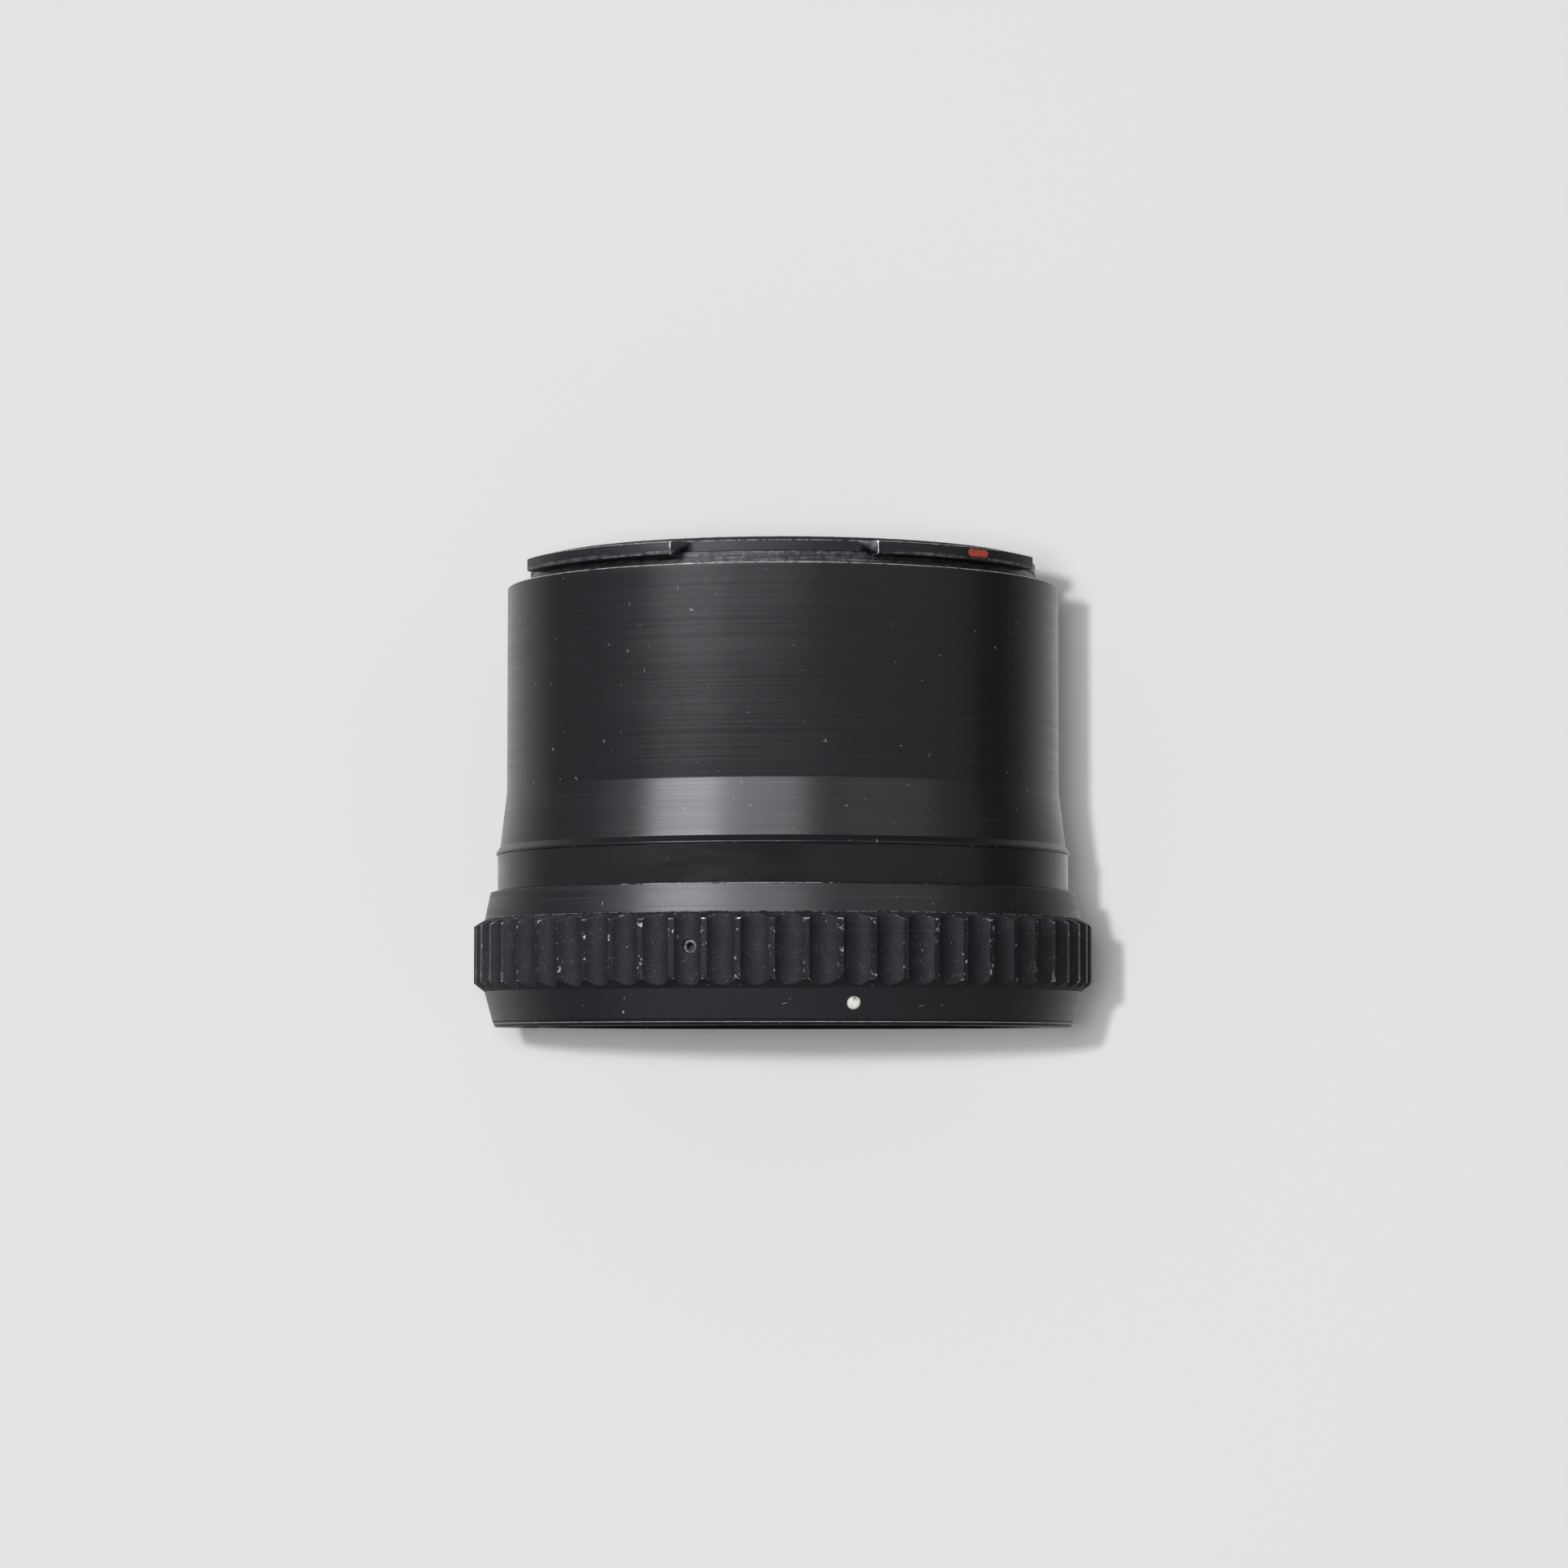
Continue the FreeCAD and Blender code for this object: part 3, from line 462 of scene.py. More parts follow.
def anodised(name, level, roughness, turning=1.0, edge_wear=0.6, specks=0.02, grain=0.0, gloss=0.6,
             rubbed=None, handled=None):
    """Black anodised aluminium with fine turning marks, some of them smoother and painted paler as a
    painted sheen, worn bright where an edge was softened.

    Rubbed is a range of heights with the black half worn off, handled a radius beyond which it is smoother.
    """
    s = Shader(name)
    fine_marks = s.noise(1.0, 2.0, 0.6, fine_turning)
    # Large patches where long turning lines are smoother and painted paler, as a painted sheen
    sheen_patches = s.step(s.noise(0.03, 2.0, 0.5), 0.35, 0.65)
    long_marks = s.noise(1.0, 2.0, 0.5, long_turning)
    smooth_and_sheen_lines = s.math("MULTIPLY", s.step(long_marks, 0.58, 0.68), sheen_patches)
    patches = s.noise(0.09, 3.0, 0.6)
    fine = s.noise(14.0, 2.0, 0.7)
    spread = 0.026 * turning
    turned_rough = s.step(fine_marks, 0.32, 0.68, roughness + spread, roughness - spread)
    rough = s.math("ADD", turned_rough, s.step(patches, 0.3, 0.7, -0.015, 0.015))
    rough = s.math("SUBTRACT", rough, s.math("MULTIPLY", smooth_and_sheen_lines, 0.035 * turning))
    if handled:
        rough = s.math("SUBTRACT", rough, s.step(s.radius(), handled - 0.08, handled, 0.0, 0.3))
    chips = s.math("ADD", s.noise(1.3, 5.0, 0.7), s.math("MULTIPLY", s.wear(), edge_wear))
    broken = s.math("MULTIPLY", s.step(chips, 0.98, 1.10), s.step(s.wear(), 0.05, 0.3))
    speck = s.math("MAXIMUM", dust(s, 0.045, specks, 0.6), dust(s, 0.075, specks * 0.4, 0.37))
    hair = hairs(s, 0.02, 0.735)
    loose = s.math("MAXIMUM", s.math("MULTIPLY", speck, 0.75), s.math("MULTIPLY", hair, 0.5))
    pale = s.math("MAXIMUM", loose, broken, clamp=True)
    black = grey(level, BLACK_BLUE)
    sheen_grey = grey(level * 2.6, BLACK_BLUE)
    # Painted sheen: the turning lines in those patches painted paler
    base = s.mix(s.math("MULTIPLY", smooth_and_sheen_lines, 0.8 * turning), black, sheen_grey)
    if rubbed:
        scratches = s.step(s.noise(1.0, 4.0, 0.7, rubbed_turning), 0.38, 0.66)
        spots = s.step(s.noise(1.1, 4.0, 0.7), 0.36, 0.60)
        amount = s.math("MULTIPLY", s.between(*rubbed), s.math("MULTIPLY", scratches, spots))
        base = s.mix(amount, base, RUBBED_BLACK)
    if grain:
        crumbs = s.step(s.noise(5.5, 3.0, 0.75), 0.55, 0.68)
        where = s.step(s.noise(0.5, 3.0, 0.6), 0.40, 0.60)
        amount = s.math("MULTIPLY", s.math("MULTIPLY", crumbs, where), grain)
        base = s.mix(amount, base, CRUMBS)
    height = s.math("ADD", s.math("MULTIPLY", fine_marks, turning), s.math("MULTIPLY", fine, 0.12 + grain))
    return s.set(
        base_color=s.mix(pale, base, ALUMINIUM),
        roughness=rough,
        metallic=s.math("MULTIPLY", broken, 0.5),
        specular_ior_level=gloss,
        normal=s.bump(height, 0.002, 0.3 + grain),
    )


def glossy_band():
    """Gloss black with faint smears and specks of dust."""
    s = Shader("band gloss black")
    smears = s.noise(0.12, 4.0, 0.65, (1.0, 1.0, 3.0))
    speck = dust(s, 0.07, 0.05, 0.8)
    wear = s.math("MULTIPLY", s.wear(), s.step(s.noise(2.0, 4.0, 0.7), 0.5, 0.65))
    pale = s.math("MAXIMUM", s.math("MULTIPLY", speck, 0.4), s.math("MULTIPLY", wear, 0.5))
    return s.set(
        base_color=s.mix(pale, grey(0.011, 0.15), grey(0.35)),
        roughness=s.step(smears, 0.3, 0.7, 0.17, 0.27),
        specular_ior_level=0.42,
        normal=s.bump(s.noise(0.7, 2.0), 0.002, 0.4),
    )


def paint(name, colour, grime, level, edge_dirt, darker_at=None):
    """Paint laid in a sinking, with dirt towards its edge, and darker round one given place."""
    s = Shader(name)
    dirt = s.math("MULTIPLY", s.step(s.noise(1.6, 4.0, 0.7), 0.5, 0.75), level)
    edge = s.math("MULTIPLY", s.wear(), edge_dirt)
    both = s.math("MAXIMUM", dirt, edge)
    # The paint is darker round the given place
    if darker_at:
        away = s.node("VectorMath", {0: s.place(), 1: tuple(darker_at)}, operation="DISTANCE").outputs["Value"]
        round_it = s.step(away, 0.25, 0.75, 1.0, 0.0)
        near = s.math("MULTIPLY", round_it, s.step(s.noise(2.2, 3.0, 0.7), 0.25, 0.5))
        both = s.math("MAXIMUM", both, s.math("MULTIPLY", near, 0.85))
    return s.set(
        base_color=s.mix(both, colour, grime),
        roughness=s.step(s.noise(2.5, 2.0), 0.3, 0.7, 0.42, 0.6),
        normal=s.bump(s.noise(5.0, 3.0), 0.01, 0.6),
    )


def bare_metal(name, colour, roughness, grime=0.25, blacked=0.0):
    """Steel, brass or plated metal with faint brushing, and blacking left in places."""
    s = Shader(name)
    marks = s.noise(0.5, 3.0, 0.6, (1.0, 1.0, 12.0))
    darker_at = s.step(s.noise(0.45, 4.0, 0.65), 0.5, 0.75, 0.0, grime)
    brushed = s.step(marks, 0.3, 0.7, roughness - 0.05, roughness + 0.08)
    rough = s.math("ADD", brushed, s.math("MULTIPLY", darker_at, 0.3))
    dark = tuple(c * 0.35 for c in colour[:3]) + (1.0,)
    tone = s.mix(darker_at, colour, dark)
    metal = 1.0
    if blacked:
        metal = s.step(s.noise(1.3, 4.0, 0.7), blacked - 0.06, blacked + 0.06)
        tone = s.mix(metal, grey(0.02, 0.1), tone)
    return s.set(base_color=tone, roughness=rough, metallic=metal, normal=s.bump(marks, 0.003, 0.4))


# Pieces

def make_barrel(material):
    """Barrel from its spigot and flare to its top, with grooves in the bore against glare."""
    corners = [
        (barrel_bore_radius, spigot_bottom, 0.1), (spigot_radius, spigot_bottom, 0.15),
        (spigot_radius, band_top, 0), (lip_radius, band_top, 0.06, 0.7),
        (lip_radius, band_top + lip_edge_height, 0.05, 0.2), (flare_foot_radius, lip_top, 0.10, 0.2),
        (barrel_radius, flare_top, 0.10, 0.4), (barrel_radius, flange_to_rim, 0.16, 1.0),
        (base_flange_radius + seat_clearance, flange_to_rim, 0.05, 0.3),
        (base_flange_radius + seat_clearance, bayonet_seat, 0), (opening_radius, bayonet_seat, 0.1),
        (opening_radius, inner_flange_bottom, 0.15), (barrel_bore_radius, inner_flange_bottom, 0),
    ]
    for k in reversed(range(glare_groove_count)):
        middle = flare_top + glare_groove_pitch * k
        corners += [
            (barrel_bore_radius, middle + glare_groove_half_width, 0),
            (barrel_bore_radius + glare_groove_depth, middle, 0),
            (barrel_bore_radius, middle - glare_groove_half_width, 0),
        ]
    piece = turned("barrel", softened(corners))
    cut(piece, [shaft_hole(inner_flange_bottom - wall_margin, flange_to_rim)])
    return finished(piece, material, "tube", "barrel_black", "main_barrel")


def make_housing(material):
    """Housing under the fluted ring and the band, with the collar between them."""
    band_seat = band_bore_radius - seat_clearance
    spigot_seat = spigot_radius + seat_clearance
    stop = spigot_bottom - gap
    front = tab_thickness + gap
    foot = grip_top + gap
    corners = [
        (chamber_radius, front, 0), (housing_radius, front, 0), (housing_radius, foot, 0),
        (rim_cone_top_radius, foot, 0.14, 0.95), (collar_top_radius, collar_top, 0.12, 1.0),
        (lip_radius, band_bottom, 0.10, 1.0), (band_seat, band_bottom, 0), (band_seat, band_top - gap, 0),
        (spigot_seat, band_top - gap, 0), (spigot_seat, stop, 0), (housing_bore_radius, stop, 0.1),
        (housing_bore_radius, ledge_back, 0), (opening_radius, ledge_back, 0.1),
        (opening_radius, ledge_front, 0.1), (housing_bore_radius, ledge_front, 0),
        (housing_bore_radius, chamber_depth, 0.1), (chamber_radius, chamber_depth, 0),
    ]
    plain = softened(corners)

    def outline(angle):
        """The collar's upper edge is worn all round, and painted paler on its lit side as a painted
        highlight.
        """
        inside = collar_wear_and_highlight_half - apart(angle, collar_wear_and_highlight_middle)
        share = collar_wear_and_highlight_least + (1 - collar_wear_and_highlight_least) * min(max(inside / collar_wear_and_highlight_fade, 0), 1)
        return [(r, z, worn * share if abs(z - collar_top) < 0.1 else worn) for r, z, worn in plain]

    piece = turned("front_housing_shell", outline)
    pocket = prism(rectangle(catch_pocket_size, catch_pocket_size), *pocket_reach,
                   outward(catch_angle, catch_pocket_radius, catch_pocket_height))
    cut(piece, [shaft_hole(ledge_front - wall_margin, ledge_back + wall_margin), pocket])
    return finished(piece, material, "tube", "housing_black", "front_housing")


def make_band(material):
    """Sleeve between the collar and the barrel's lip."""
    corners = [
        (band_bore_radius, band_bottom + gap, 0), (band_radius, band_bottom + gap, 0.07, 0.6),
        (band_radius, band_top - gap, 0.07, 0.6), (band_bore_radius, band_top - gap, 0),
    ]
    return finished(turned("band", softened(corners)), material, "tube", "band_gloss", "name_band")


def make_neck(material):
    """Neck, base flange and four lugs as one outline that swells into a lug."""
    edge = 0.16
    end_wear_reach = 0.35
    crest_half = lug_half_angle - lug_run_out
    around = softened([
        (opening_radius, bayonet_seat + gap, 0), (base_flange_radius, bayonet_seat + gap, 0),
        (base_flange_radius, flange_to_rim, 0.06, 0.3), (groove_radius + neck_fillet, flange_to_rim, 0),
        (groove_radius, flange_to_rim + neck_fillet, 0), (groove_radius, lug_bottom, 0),
        (neck_radius, lug_top, 0), (neck_radius, neck_top - neck_chamfer_height, 0.14, 0.9),
        (neck_radius - neck_chamfer_width, neck_top, 0.10, 0.9), (neck_bore_radius, neck_top, 0.10, 0.6),
        (neck_bore_radius, ledge_top, 0), (opening_radius, ledge_top, 0.1),
    ])
    first = next(k for k, (r, z, _) in enumerate(around) if (r, z) == (groove_radius, lug_bottom))
    below = around[:first]
    above = around[first + 2:]

    def from_lug(angle):
        return min(apart(angle, a) for a in lug_angles)

    def lug_share(angle):
        share = min(max((lug_half_angle - from_lug(angle)) / lug_run_out, 0), 1)
        in_notch = apart(angle, catch_angle) < lug_notch_half_angle
        return min(share, lug_notch_share) if in_notch else share

    def section(share):
        """Side from the groove to the lug's top, where the lug stands out by a share of its reach."""
        low = lug_bottom + lug_end_rise * (1 - share)
        reach = (lug_radius - neck_radius) * share
        inner = neck_radius if low > groove_top else groove_radius
        corner = edge * share
        return [
            (groove_radius, lug_bottom, 0),
            (groove_radius, min(low, groove_top - 0.03), 0.3 * (1 - share)),
            (inner, min(low, groove_top), 0.4 * (1 - share)),
            (inner + max(reach - corner, 0), low, 0),
            (neck_radius + reach - corner * 0.3, low + corner * 0.3, 0.65 * share),
            (neck_radius + reach, low + corner, 0),
            (neck_radius + reach, lug_top - corner, 0),
            (neck_radius + reach - corner * 0.3, lug_top - corner * 0.3, share),
            (neck_radius + reach - corner, lug_top, 0),
            (neck_radius, lug_top, 0),
        ]

    def outline(angle):
        end_wear = max(0, 1 - abs(from_lug(angle) - crest_half) / end_wear_reach)
        return below + [(r, z, max(worn, end_wear)) for r, z, worn in section(lug_share(angle))] + above

    angles = set(even_angles(neck_columns))
    run_out = [crest_half + more for more in (-0.3, 0, 0.3, 1.2, 2.3)] + [lug_half_angle]
    for centre in lug_angles:
        angles.update(beside(centre, run_out))
    angles.update(beside(catch_angle, [lug_notch_half_angle - 0.02, lug_notch_half_angle + 0.02]))
    piece = turned("neck", outline, sorted(angles))
    cut(piece, [shaft_hole(bayonet_seat - wall_margin, ledge_top + wall_margin)])
    return finished(piece, material, "tube", "bayonet_black", "rear_bayonet")


def from_flute(angle):
    """Degrees from the middle of the nearest flute, less than nought on one side of it."""
    return (angle - index_angle + flute_pitch / 2) % flute_pitch - flute_pitch / 2


def flute_radius(angle):
    """Radius of the fluted ring's outside at an angle, before its chamfers."""
    turn = math.radians(from_flute(angle))
    centre = valley_radius + flute_cutter_radius
    across = centre * math.sin(turn)
    if abs(across) >= flute_cutter_radius:
        return grip_radius
    return min(grip_radius, centre * math.cos(turn) - math.sqrt(flute_cutter_radius ** 2 - across ** 2))


def flute_half_angle():
    """Angle from a flute's middle to its edge, by halving the range."""
    low, high = 0.0, flute_pitch / 2
    for _ in range(30):
        middle = (low + high) / 2
        if flute_radius(index_angle + middle) < grip_radius:
            low = middle
        else:
            high = middle
    return low


def make_grip(material, cone_material):
    """Fluted ring with a smoother cone below. Its rows follow the line where each flute runs out."""
    bottom = rim_edge_height + gap
    lower_slope = (flutes_bottom - rim_cone_top) / (grip_radius - rim_cone_top_radius)
    upper_slope = (grip_top - flutes_top) / (grip_radius - rim_cone_top_radius)
    half = flute_half_angle()
    edge_blend = 0.10
    edge_wear = 0.70
    edge_wear_reach = 0.25
    ridge_wear = 0.66
    ridge_end_wear = 0.84
    flute_end_wear = 0.62

    def outline(angle):
        radius = flute_radius(angle)
        low = rim_cone_top + (radius - rim_cone_top_radius) * lower_slope
        high = grip_top - (radius - rim_cone_top_radius) * upper_slope
        away = abs(from_flute(angle))
        edge = edge_wear * max(0, 1 - abs(away - half) / edge_wear_reach)
        ridge = ridge_wear if away > half else 0
        side = max(edge, ridge)
        end = ridge_end_wear if away > half - 0.2 else flute_end_wear
        cone = [
            (grip_bore_radius, bottom, 0), (rim_edge_radius - 0.02, bottom, 0),
            (rim_edge_radius, bottom + 0.02, 0.1), (rim_edge_radius + 0.04, bottom + 0.14, 0),
            (rim_cone_top_radius - 0.03, rim_cone_top - 0.1, 0),
            (rim_cone_top_radius + 0.02, rim_cone_top + 0.02, 0.25),
        ]
        flute = [
            (radius - 0.12, low - 0.1 * lower_slope, 0), (radius - 0.03, low - 0.02, end),
            (radius, low + edge_blend, max(side, 0.4)), (radius, low + 2.5 * edge_blend, side),
            (radius, (low + high) / 2, side * 0.9),
            (radius, high - 2.5 * edge_blend, side), (radius, high - edge_blend, max(side, 0.4)),
            (radius - 0.03, high + 0.02, max(end, 0.75)), (radius - 0.12, high + 0.1 * upper_slope, 0),
        ]
        top = [
            (rim_cone_top_radius + 0.05, grip_top - 0.02, 0.4), (rim_cone_top_radius - 0.05, grip_top, 0),
            (grip_bore_radius, grip_top, 0),
        ]
        return cone + flute + top

    offsets = [0, 0.35, 0.7, 1.05, 1.4, 1.7, 1.95, half - 0.17, half, half + 0.17]
    around = sorted(set([-o for o in offsets] + offsets + [flute_pitch / 2]))
    angles = [index_angle + flute_pitch * k + o for k in range(flute_count) for o in around]
    piece = turned("grip", outline, angles)
    hole = disc(set_screw_radius + seat_clearance)
    hole_places = [outward(a, valley_radius, set_screw_height) for a in set_screw_angles]
    holes = [prism(hole, *screw_hole_reach, place) for place in hole_places]
    middle = (button_window_bottom + button_window_top) / 2
    window = prism(rectangle(button_window_width, button_window_top - button_window_bottom), *window_reach,
                   outward(catch_angle, grip_radius, middle))
    dot = prism(disc(dot_radius, small_turn_columns), *dot_reach, dot_matrix())
    cut(piece, holes + [window, dot])
    finished(piece, material, "tube", "grip_black", "grip_ring")
    # Faces below the flutes take the cone's material
    piece.data.materials.append(cone_material)
    for face in piece.data.polygons:
        if face.center.z < (rim_cone_top - 0.02) * MM:
            face.material_index = 1


def dot_matrix():
    """Matrix that stands local +Z outwards at the dot, square to the cone."""
    rise = rim_cone_top_radius - rim_edge_radius
    height = rim_cone_top - rim_edge_height
    radius = rim_edge_radius + rise * (dot_height - rim_edge_height) / height
    return outward(index_angle, radius, dot_height, math.degrees(math.atan2(rise, height)))


def make_dot(material):
    """Slightly domed paint, sunk a little below the cone."""
    corners = [
        (axis_radius, -dot_depth, 0), (dot_radius - gap, -dot_depth, 0), (dot_radius - gap, -0.10, 1),
        (dot_radius * 0.85, -0.05, 0.5), (dot_radius * 0.6, -0.03, 0), (axis_radius, -0.02, 0),
    ]
    piece = turned("index_dot", corners, even_angles(small_turn_columns), dot_matrix())
    return finished(piece, material, "tube", "paint_white", "white_index_dot", sharp=60)


def make_set_screws(material):
    """Headless screws whose outline turns a hexagon at the socket."""
    def outline(angle):
        side = math.radians(angle % 60 - 30)
        hexagon = set_screw_socket_radius * math.cos(math.radians(30)) / math.cos(side)
        return [
            (axis_radius, -set_screw_length, 0), (set_screw_radius, -set_screw_length, 0),
            (set_screw_radius, -0.16, 0.3), (set_screw_radius - 0.04, -0.04, 1),
            (set_screw_radius - 0.10, 0.0, 0.8), (hexagon + 0.04, 0.0, 0.6), (hexagon, -0.04, 0.8),
            (hexagon, -set_screw_socket_depth, 0), (axis_radius, -set_screw_socket_depth, 0),
        ]

    for k, angle in enumerate(set_screw_angles):
        matrix = outward(angle, set_screw_face_radius, set_screw_height)
        piece = turned("set_screw_%d" % (k + 1), outline, even_angles(small_turn_columns), matrix)
        finished(piece, material, "tube", "screw_steel", "grip_set_screws")


def make_catch_spring(material):
    """Coil of the catch, drawn flat towards its fixed upper end as the catch slides."""
    around = 12
    steps_per_turn = 28
    steps = steps_per_turn * spring_turns
    rise = (spring_top - spring_bottom - 2 * spring_wire_radius) / steps
    middle = on_ring(spring_circle, catch_angle) / MM
    places = []
    for k in range(steps + 1):
        turn = 2 * math.pi * spring_turns * k / steps
        out = Vector((math.cos(turn), math.sin(turn), 0))
        height = spring_bottom + spring_wire_radius + rise * k
        centre = middle + out * spring_mean_radius + Vector((0, 0, height))
        for j in range(around):
            a = 2 * math.pi * j / around
            spoke = out * math.cos(a) + Vector((0, 0, math.sin(a)))
            places.append((centre + spoke * spring_wire_radius) * MM)
    faces = [tuple(range(around)), tuple(reversed(range(steps * around, (steps + 1) * around)))]
    for k in range(steps):
        for j in range(around):
            a = k * around + j
            b = k * around + (j + 1) % around
            faces.append((a, a + around, b + around, b))
    piece = linked(meshed("catch_coil", places, faces))
    finished(piece, material, "tube", "spring_steel", "catch_spring", sharp=60)
    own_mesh(piece)


def make_red_mark(material):
    """Rounded bar of paint on the first lug."""
    end = mark_height / 2
    straight = (mark_length - mark_height) / 2
    rim = []
    for angle in even_angles(small_turn_columns):
        turn = math.radians(angle)
        side = math.copysign(straight, math.cos(turn))
        rim.append((side + end * math.cos(turn), end * math.sin(turn)))
    # Share of the full width, height over the lug in mm, and wear
    layers = [(1.0, -0.2, 0), (1.0, 0.0, 1), (0.93, 0.02, 0.6), (0.8, 0.03, 0), (0.4, 0.03, 0)]
    places = []
    wear = []
    for share, lift, worn in layers:
        for x, y in rim:
            x_in = x - (x - math.copysign(straight, x)) * (1 - share)
            radius = lug_radius + lift
            angle = mark_angle + math.degrees(x_in / radius)
            places.append(on_ring(radius, angle, mark_middle + y * share))
            wear.append(worn)
    piece = linked(meshed("red_mark", places, stacked_faces(len(layers), len(rim)), wear))
    return finished(piece, material, "tube", "paint_red", "red_index_mark", sharp=60)


def make_rim(material):
    """Steel ring at the lens side, whose outline reaches inwards at each tab."""
    tab_edge = 0.12

    def outline(angle):
        at_tab = min(apart(angle, a) for a in tab_angles) < tab_half_angle
        inner = throat_radius if at_tab else chamber_radius
        return [
            (inner, tab_edge, 0.4), (inner + tab_edge, 0, 0.4), (chamber_radius + 0.4, 0, 0),
            (rim_worn_radius - 0.26, 0, 0), (rim_worn_radius - 0.20, 0.03, 0.05),
            (rim_worn_radius - 0.07, rim_worn_height - 0.10, 0.05),
            (rim_worn_radius - 0.03, rim_worn_height - 0.04, 1.0), (rim_worn_radius, rim_worn_height, 1.0),
            (rim_worn_radius + 0.02, rim_worn_height + 0.05, 0.1),
            (rim_edge_radius - 0.01, rim_edge_height, 0),
            (housing_radius, rim_edge_height, 0), (housing_radius, tab_thickness, 0),
            (chamber_radius + 0.2, tab_thickness, 0), (inner + tab_edge, tab_thickness, 0.2),
            (inner, tab_thickness - tab_edge, 0.4),
        ]

    angles = set(even_angles(full_turn_columns))
    for centre in tab_angles:
        angles.update(beside(centre, [tab_half_angle - 0.02, tab_half_angle + 0.02]))
    piece = turned("rim", outline, sorted(angles))
    return finished(piece, material, "tube", "mount_steel", "front_bayonet")


def dress(material, *names):
    """Gives carried-over nodes a material."""
    for name in names:
        for place in nodes[name].material_slots:
            place.material = material


# Camera, stage and light

# The camera as fitted to the photo's edges: pixels, mm and degrees
photo_size = 1932
camera_focal_pixels = 5678.2
camera_place = (0.138, -579.39, -4.41)
camera_pitch = 3.457

# Backdrop's place in mm along Y, and the stage's reach and the lamps' distance in m
backdrop_place = 39.2
stage_reach = 20.0
lamp_distance = 1.0

# Linear level wanted on the stage, and what it's made of: reflectance, own light, and the world's light
background_level = 0.753
level_trim = 1.035
tone = 0.45
glow = 0.07
ambient = 0.30
ambient_seen = 0.78

studio_white = (0.94, 0.962, 1.0)
sharp_share = 0.48
floor_sun_way = Vector((0.35, 0.30, -1.0)).normalized()
floor_sun_spread = 12.0

# Offset across and up from the camera and radius in mm, then share of the light on the backdrop
shadow_lamps = {
    "shadow_sharp": (-57.0, 31.5, 8.0, sharp_share),
    "shadow_wide": (-31.0, 13.5, 36.0, 1 - sharp_share),
}

# Azimuth, elevation, width and height in degrees, then radiance
softboxes = {
    "key_left": (-40, 25.5, 28, 25, 11.3),
    "key_soft": (-66, 25.5, 26, 25, 0.7),
    "key_right": (-8, 25.5, 32, 25, 4.5),
    "fill_left": (-80, 20, 44, 50, 0.18),
    "fill_right": (46, 18, 78, 46, 0.24),
    "high_right": (44, 26.5, 40, 25, 0.7),
    "bounce": (-25, -28, 80, 30, 0.36),
    "bounce_right": (62, -28, 66, 30, 0.14),
    "under": (70, -72, 50, 50, 0.6),
    "top": (193, 64, 46, 32, 1.1),
}


def make_camera():
    """Camera at the photo's place, with the photo's width across its sensor."""
    data = bpy.data.cameras.new("camera")
    data.sensor_fit = "HORIZONTAL"
    data.sensor_width = 36.0
    data.lens = camera_focal_pixels * data.sensor_width / photo_size
    data.clip_start = 0.01
    data.clip_end = 50.0
    camera = bpy.data.objects.new("camera", data)
    camera.location = Vector(camera_place) * MM
    camera.rotation_euler = (math.radians(90 + camera_pitch), 0, 0)
    bpy.context.scene.camera = linked(camera)


def stage_material():
    """Pale surface seen only from its front, part of whose tone doesn't depend on the lamps."""
    s = Shader("stage pale grey")
    s.nodes.remove(s.surface)
    lit = s.node("BsdfDiffuse", {"Color": grey(tone)}).outputs[0]
    even = s.node("Emission", {"Color": grey(1.0), "Strength": glow}).outputs[0]
    front = s.node("AddShader", {0: lit, 1: even}).outputs[0]
    back = s.node("BsdfTransparent").outputs[0]
    side = s.node("NewGeometry").outputs["Backfacing"]
    both = s.node("MixShader", {0: side, 1: front, 2: back}).outputs[0]
    s.put(s.nodes["Material Output"].inputs["Surface"], both)
    return s.material


def stage_plane(name, corners, material):
    """Plane that only the camera sees."""
    plane = linked(meshed(name, corners, [(0, 1, 2, 3)]))
    plane.data.materials.append(material)
    for kind in ("diffuse", "glossy", "transmission", "shadow"):
        setattr(plane, "visible_" + kind, False)
    return plane


def lamp_for(name, kind, receivers, exclude=False):
    """Lamp that lights only its receivers, or all but them."""
    lamp = linked(bpy.data.objects.new(name, bpy.data.lights.new(name, kind)))
    group = bpy.data.collections.new(name + "_receivers")
    for receiver in receivers:
        group.objects.link(receiver)
    lamp.light_linking.receiver_collection = group
    if exclude:
        for entry in group.collection_objects:
            entry.light_linking.link_state = "EXCLUDE"
    return lamp


def sun(name, direction, strength, spread, receiver):
    """Even light from one direction, with its spread in degrees."""
    lamp = lamp_for(name, "SUN", [receiver])
    lamp.data.energy = strength
    lamp.data.angle = math.radians(spread)
    lamp.rotation_mode = "QUATERNION"
    lamp.rotation_quaternion = direction.to_track_quat("-Z", "Y")


def shadow_lamp(name, across, up, radius, level, receiver):
    """Lamp at the camera's depth, whose shadow has the object's size and whose light doesn't fall off."""
    lamp = lamp_for(name, "POINT", [receiver])
    # Without falloff a facing white surface shows the energy over 4 pi squared
    lamp.data.energy = level * 4 * math.pi ** 2 / tone
    lamp.data.shadow_soft_size = radius * MM
    lamp.data.use_nodes = True
    tree = lamp.data.node_tree
    falloff = tree.nodes.new("ShaderNodeLightFalloff")
    falloff.inputs["Strength"].default_value = 1.0
    tree.links.new(falloff.outputs["Constant"], tree.nodes["Emission"].inputs["Strength"])
    lamp.location = (Vector(camera_place) + Vector((across, 0, up))) * MM


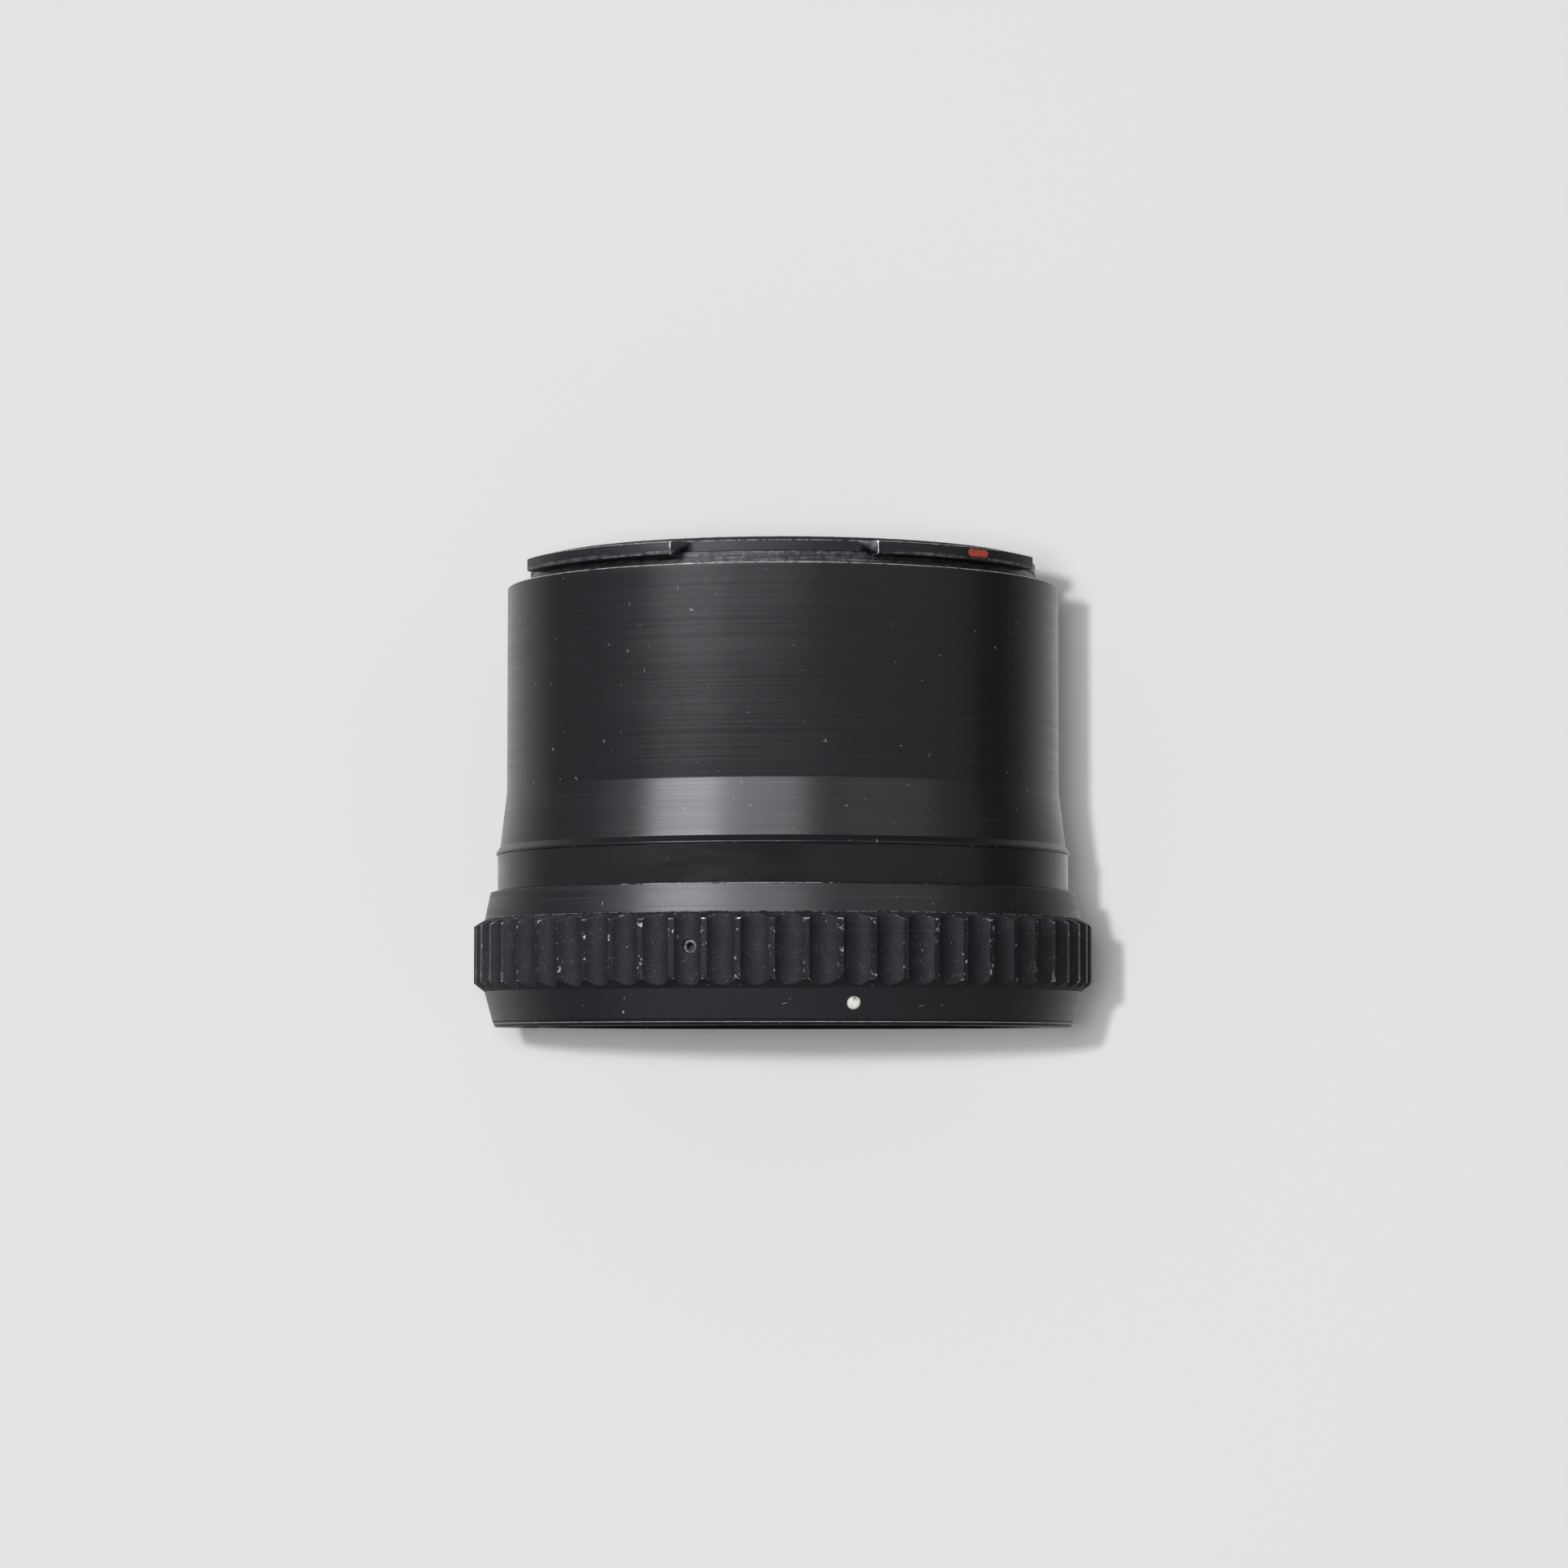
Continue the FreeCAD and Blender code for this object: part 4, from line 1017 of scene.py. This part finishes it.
def softbox(name, azimuth, elevation, width, height, radiance, stage):
    """Rectangular lamp of an angular width and height as the object sees it, that leaves the stage dark."""
    a, e = math.radians(azimuth), math.radians(elevation)
    out = Vector((math.sin(a) * math.cos(e), -math.cos(a) * math.cos(e), math.sin(e)))
    lamp = lamp_for(name, "AREA", stage, exclude=True)
    lamp.data.shape = "RECTANGLE"
    lamp.data.size = 2 * lamp_distance * math.tan(math.radians(width / 2))
    lamp.data.size_y = 2 * lamp_distance * math.tan(math.radians(height / 2))
    lamp.data.energy = radiance * math.pi * lamp.data.size * lamp.data.size_y
    lamp.data.color = studio_white
    lamp.location = out * lamp_distance + Vector((0, 0, flange_to_rim / 2)) * MM
    lamp.rotation_mode = "QUATERNION"
    lamp.rotation_quaternion = (-out).to_track_quat("-Z", "Y")


def make_world():
    """The camera sees the plain background; gloss sees a studio that is pale behind the object."""
    world = bpy.data.worlds.new("studio")
    bpy.context.scene.world = world
    world.use_nodes = True
    world.cycles.sampling_method = "NONE"
    tree = world.node_tree
    tree.nodes.clear()

    def add(kind, **settings):
        node = tree.nodes.new("ShaderNode" + kind)
        for key, value in settings.items():
            setattr(node, key, value)
        return node

    def background(strength):
        node = add("Background")
        if isinstance(strength, float):
            node.inputs["Strength"].default_value = strength
        else:
            tree.links.new(strength, node.inputs["Strength"])
        return node.outputs[0]

    def choose(ray, other, chosen):
        """Chosen for rays of one kind, and the other for the rest."""
        node = add("MixShader")
        tree.links.new(ray, node.inputs[0])
        tree.links.new(other, node.inputs[1])
        tree.links.new(chosen, node.inputs[2])
        return node.outputs[0]

    def rise(value, low, high, bottom, top):
        node = add("MapRange", interpolation_type="SMOOTHSTEP")
        tree.links.new(value, node.inputs["Value"])
        for key, number in (("From Min", low), ("From Max", high), ("To Min", bottom), ("To Max", top)):
            node.inputs[key].default_value = number
        return node.outputs[0]

    def combined(operation, a, b):
        node = add("Math", operation=operation)
        tree.links.new(a, node.inputs[0])
        tree.links.new(b, node.inputs[1])
        return node.outputs[0]

    split = add("SeparateXYZ")
    tree.links.new(add("TexCoord").outputs["Generated"], split.inputs[0])
    darker_side = rise(split.outputs["X"], -0.5, 0.5, 0.0, 0.10)
    behind = rise(combined("SUBTRACT", split.outputs["Y"], darker_side), 0.1, 1.0, 0.07, 0.93)
    above = rise(split.outputs["Z"], -0.8, -0.4, 0.15, 1.0)
    level = combined("MULTIPLY", behind, above)
    rays = add("LightPath")
    gloss = background(level)
    lit = choose(rays.outputs["Is Diffuse Ray"], gloss, background(ambient))
    seen = choose(rays.outputs["Is Camera Ray"], lit, background(background_level))
    tree.links.new(seen, add("OutputWorld").inputs["Surface"])


def make_stage():
    """Backdrop, floor, world and every lamp, whose light fills the stage up to the photo's level."""
    lit = background_level * level_trim - glow - tone * ambient * ambient_seen
    material = stage_material()
    square = rectangle(2 * stage_reach, 2 * stage_reach)
    backdrop = stage_plane("backdrop", [(x, backdrop_place * MM, z) for x, z in square], material)
    floor = stage_plane("floor", [(x, y, 0) for x, y in square], material)
    make_world()
    for name, (across, up, radius, share) in shadow_lamps.items():
        shadow_lamp(name, across, up, radius, lit * share, backdrop)
    sun("floor_sun", floor_sun_way, lit * math.pi / tone / -floor_sun_way.z, floor_sun_spread, floor)
    for name, values in softboxes.items():
        softbox(name, *values, [backdrop, floor])


bpy.context.scene.view_settings.view_transform = "Standard"
make_camera()
make_stage()

satin = anodised("barrel satin black", 0.006, 0.27, 0.85, edge_wear=0.66)
housing_satin = anodised("housing satin black", 0.007, 0.345, 1.2, edge_wear=0.65, grain=0.15, gloss=0.47)
grip_matte = anodised("grip matte black", 0.011, 0.66, 0.3, edge_wear=0.62, specks=0.05, grain=0.9,
                      gloss=0.27, handled=grip_radius - 0.02)
cone_satin = anodised("rim cone satin black", 0.010, 0.40, 0.5, edge_wear=0.62, specks=0.03)
neck_satin = anodised("neck worn black", 0.010, 0.38, 1.0, edge_wear=0.66, specks=0.06, gloss=0.45,
                      rubbed=(flange_to_rim + 0.1, groove_top))
rim_worn = anodised("rim worn black", 0.008, 0.48, 0.5, edge_wear=0.7, specks=0.01, gloss=0.3)
plate_black = anodised("plate matte black", 0.014, 0.48, 0.6, edge_wear=0.4)
steel = bare_metal("steel", (0.45, 0.46, 0.47, 1.0), 0.34)
black_steel = bare_metal("blacked steel", (0.40, 0.40, 0.41, 1.0), 0.38, grime=0.2, blacked=0.62)
brass = bare_metal("brass", (0.62, 0.45, 0.20, 1.0), 0.3)
chrome = bare_metal("satin chrome", (0.50, 0.50, 0.51, 1.0), 0.26, grime=0.3)

make_barrel(satin)
make_housing(housing_satin)
make_band(glossy_band())
make_neck(neck_satin)
make_grip(grip_matte, cone_satin)
make_rim(rim_worn)
# The dot's paint is darker round a place near its top
dot_darker_place = dot_matrix().translation / MM + Vector((0.2, 0, 0.8))
make_dot(paint("cream paint", (0.83, 0.82, 0.77, 1.0), (0.20, 0.17, 0.10, 1.0), 0.3, 0.6, dot_darker_place))
make_red_mark(paint("red paint", (0.46, 0.058, 0.026, 1.0), (0.16, 0.03, 0.02, 1.0), 0.5, 0.35))
make_set_screws(anodised("screw worn black", 0.03, 0.42, 0.3, edge_wear=0.66, specks=0.05))
make_catch_spring(steel)
dress(plate_black, "rear_plate", "front_plate", "shaft_cover")
dress(black_steel, "rear_plate_screws", "front_plate_screws", "shaft_cover_screws")
dress(steel, "front_bayonet_screws", "bayonet_springs", "bayonet_stop_pin", "drive_shaft", "rear_coupling",
      "front_coupling", "coupling_pins", "shaft_clips", "lock_pin", "release_button_screw")
dress(brass, "rear_bush", "front_bush", "catch_block")
dress(chrome, "release_button")
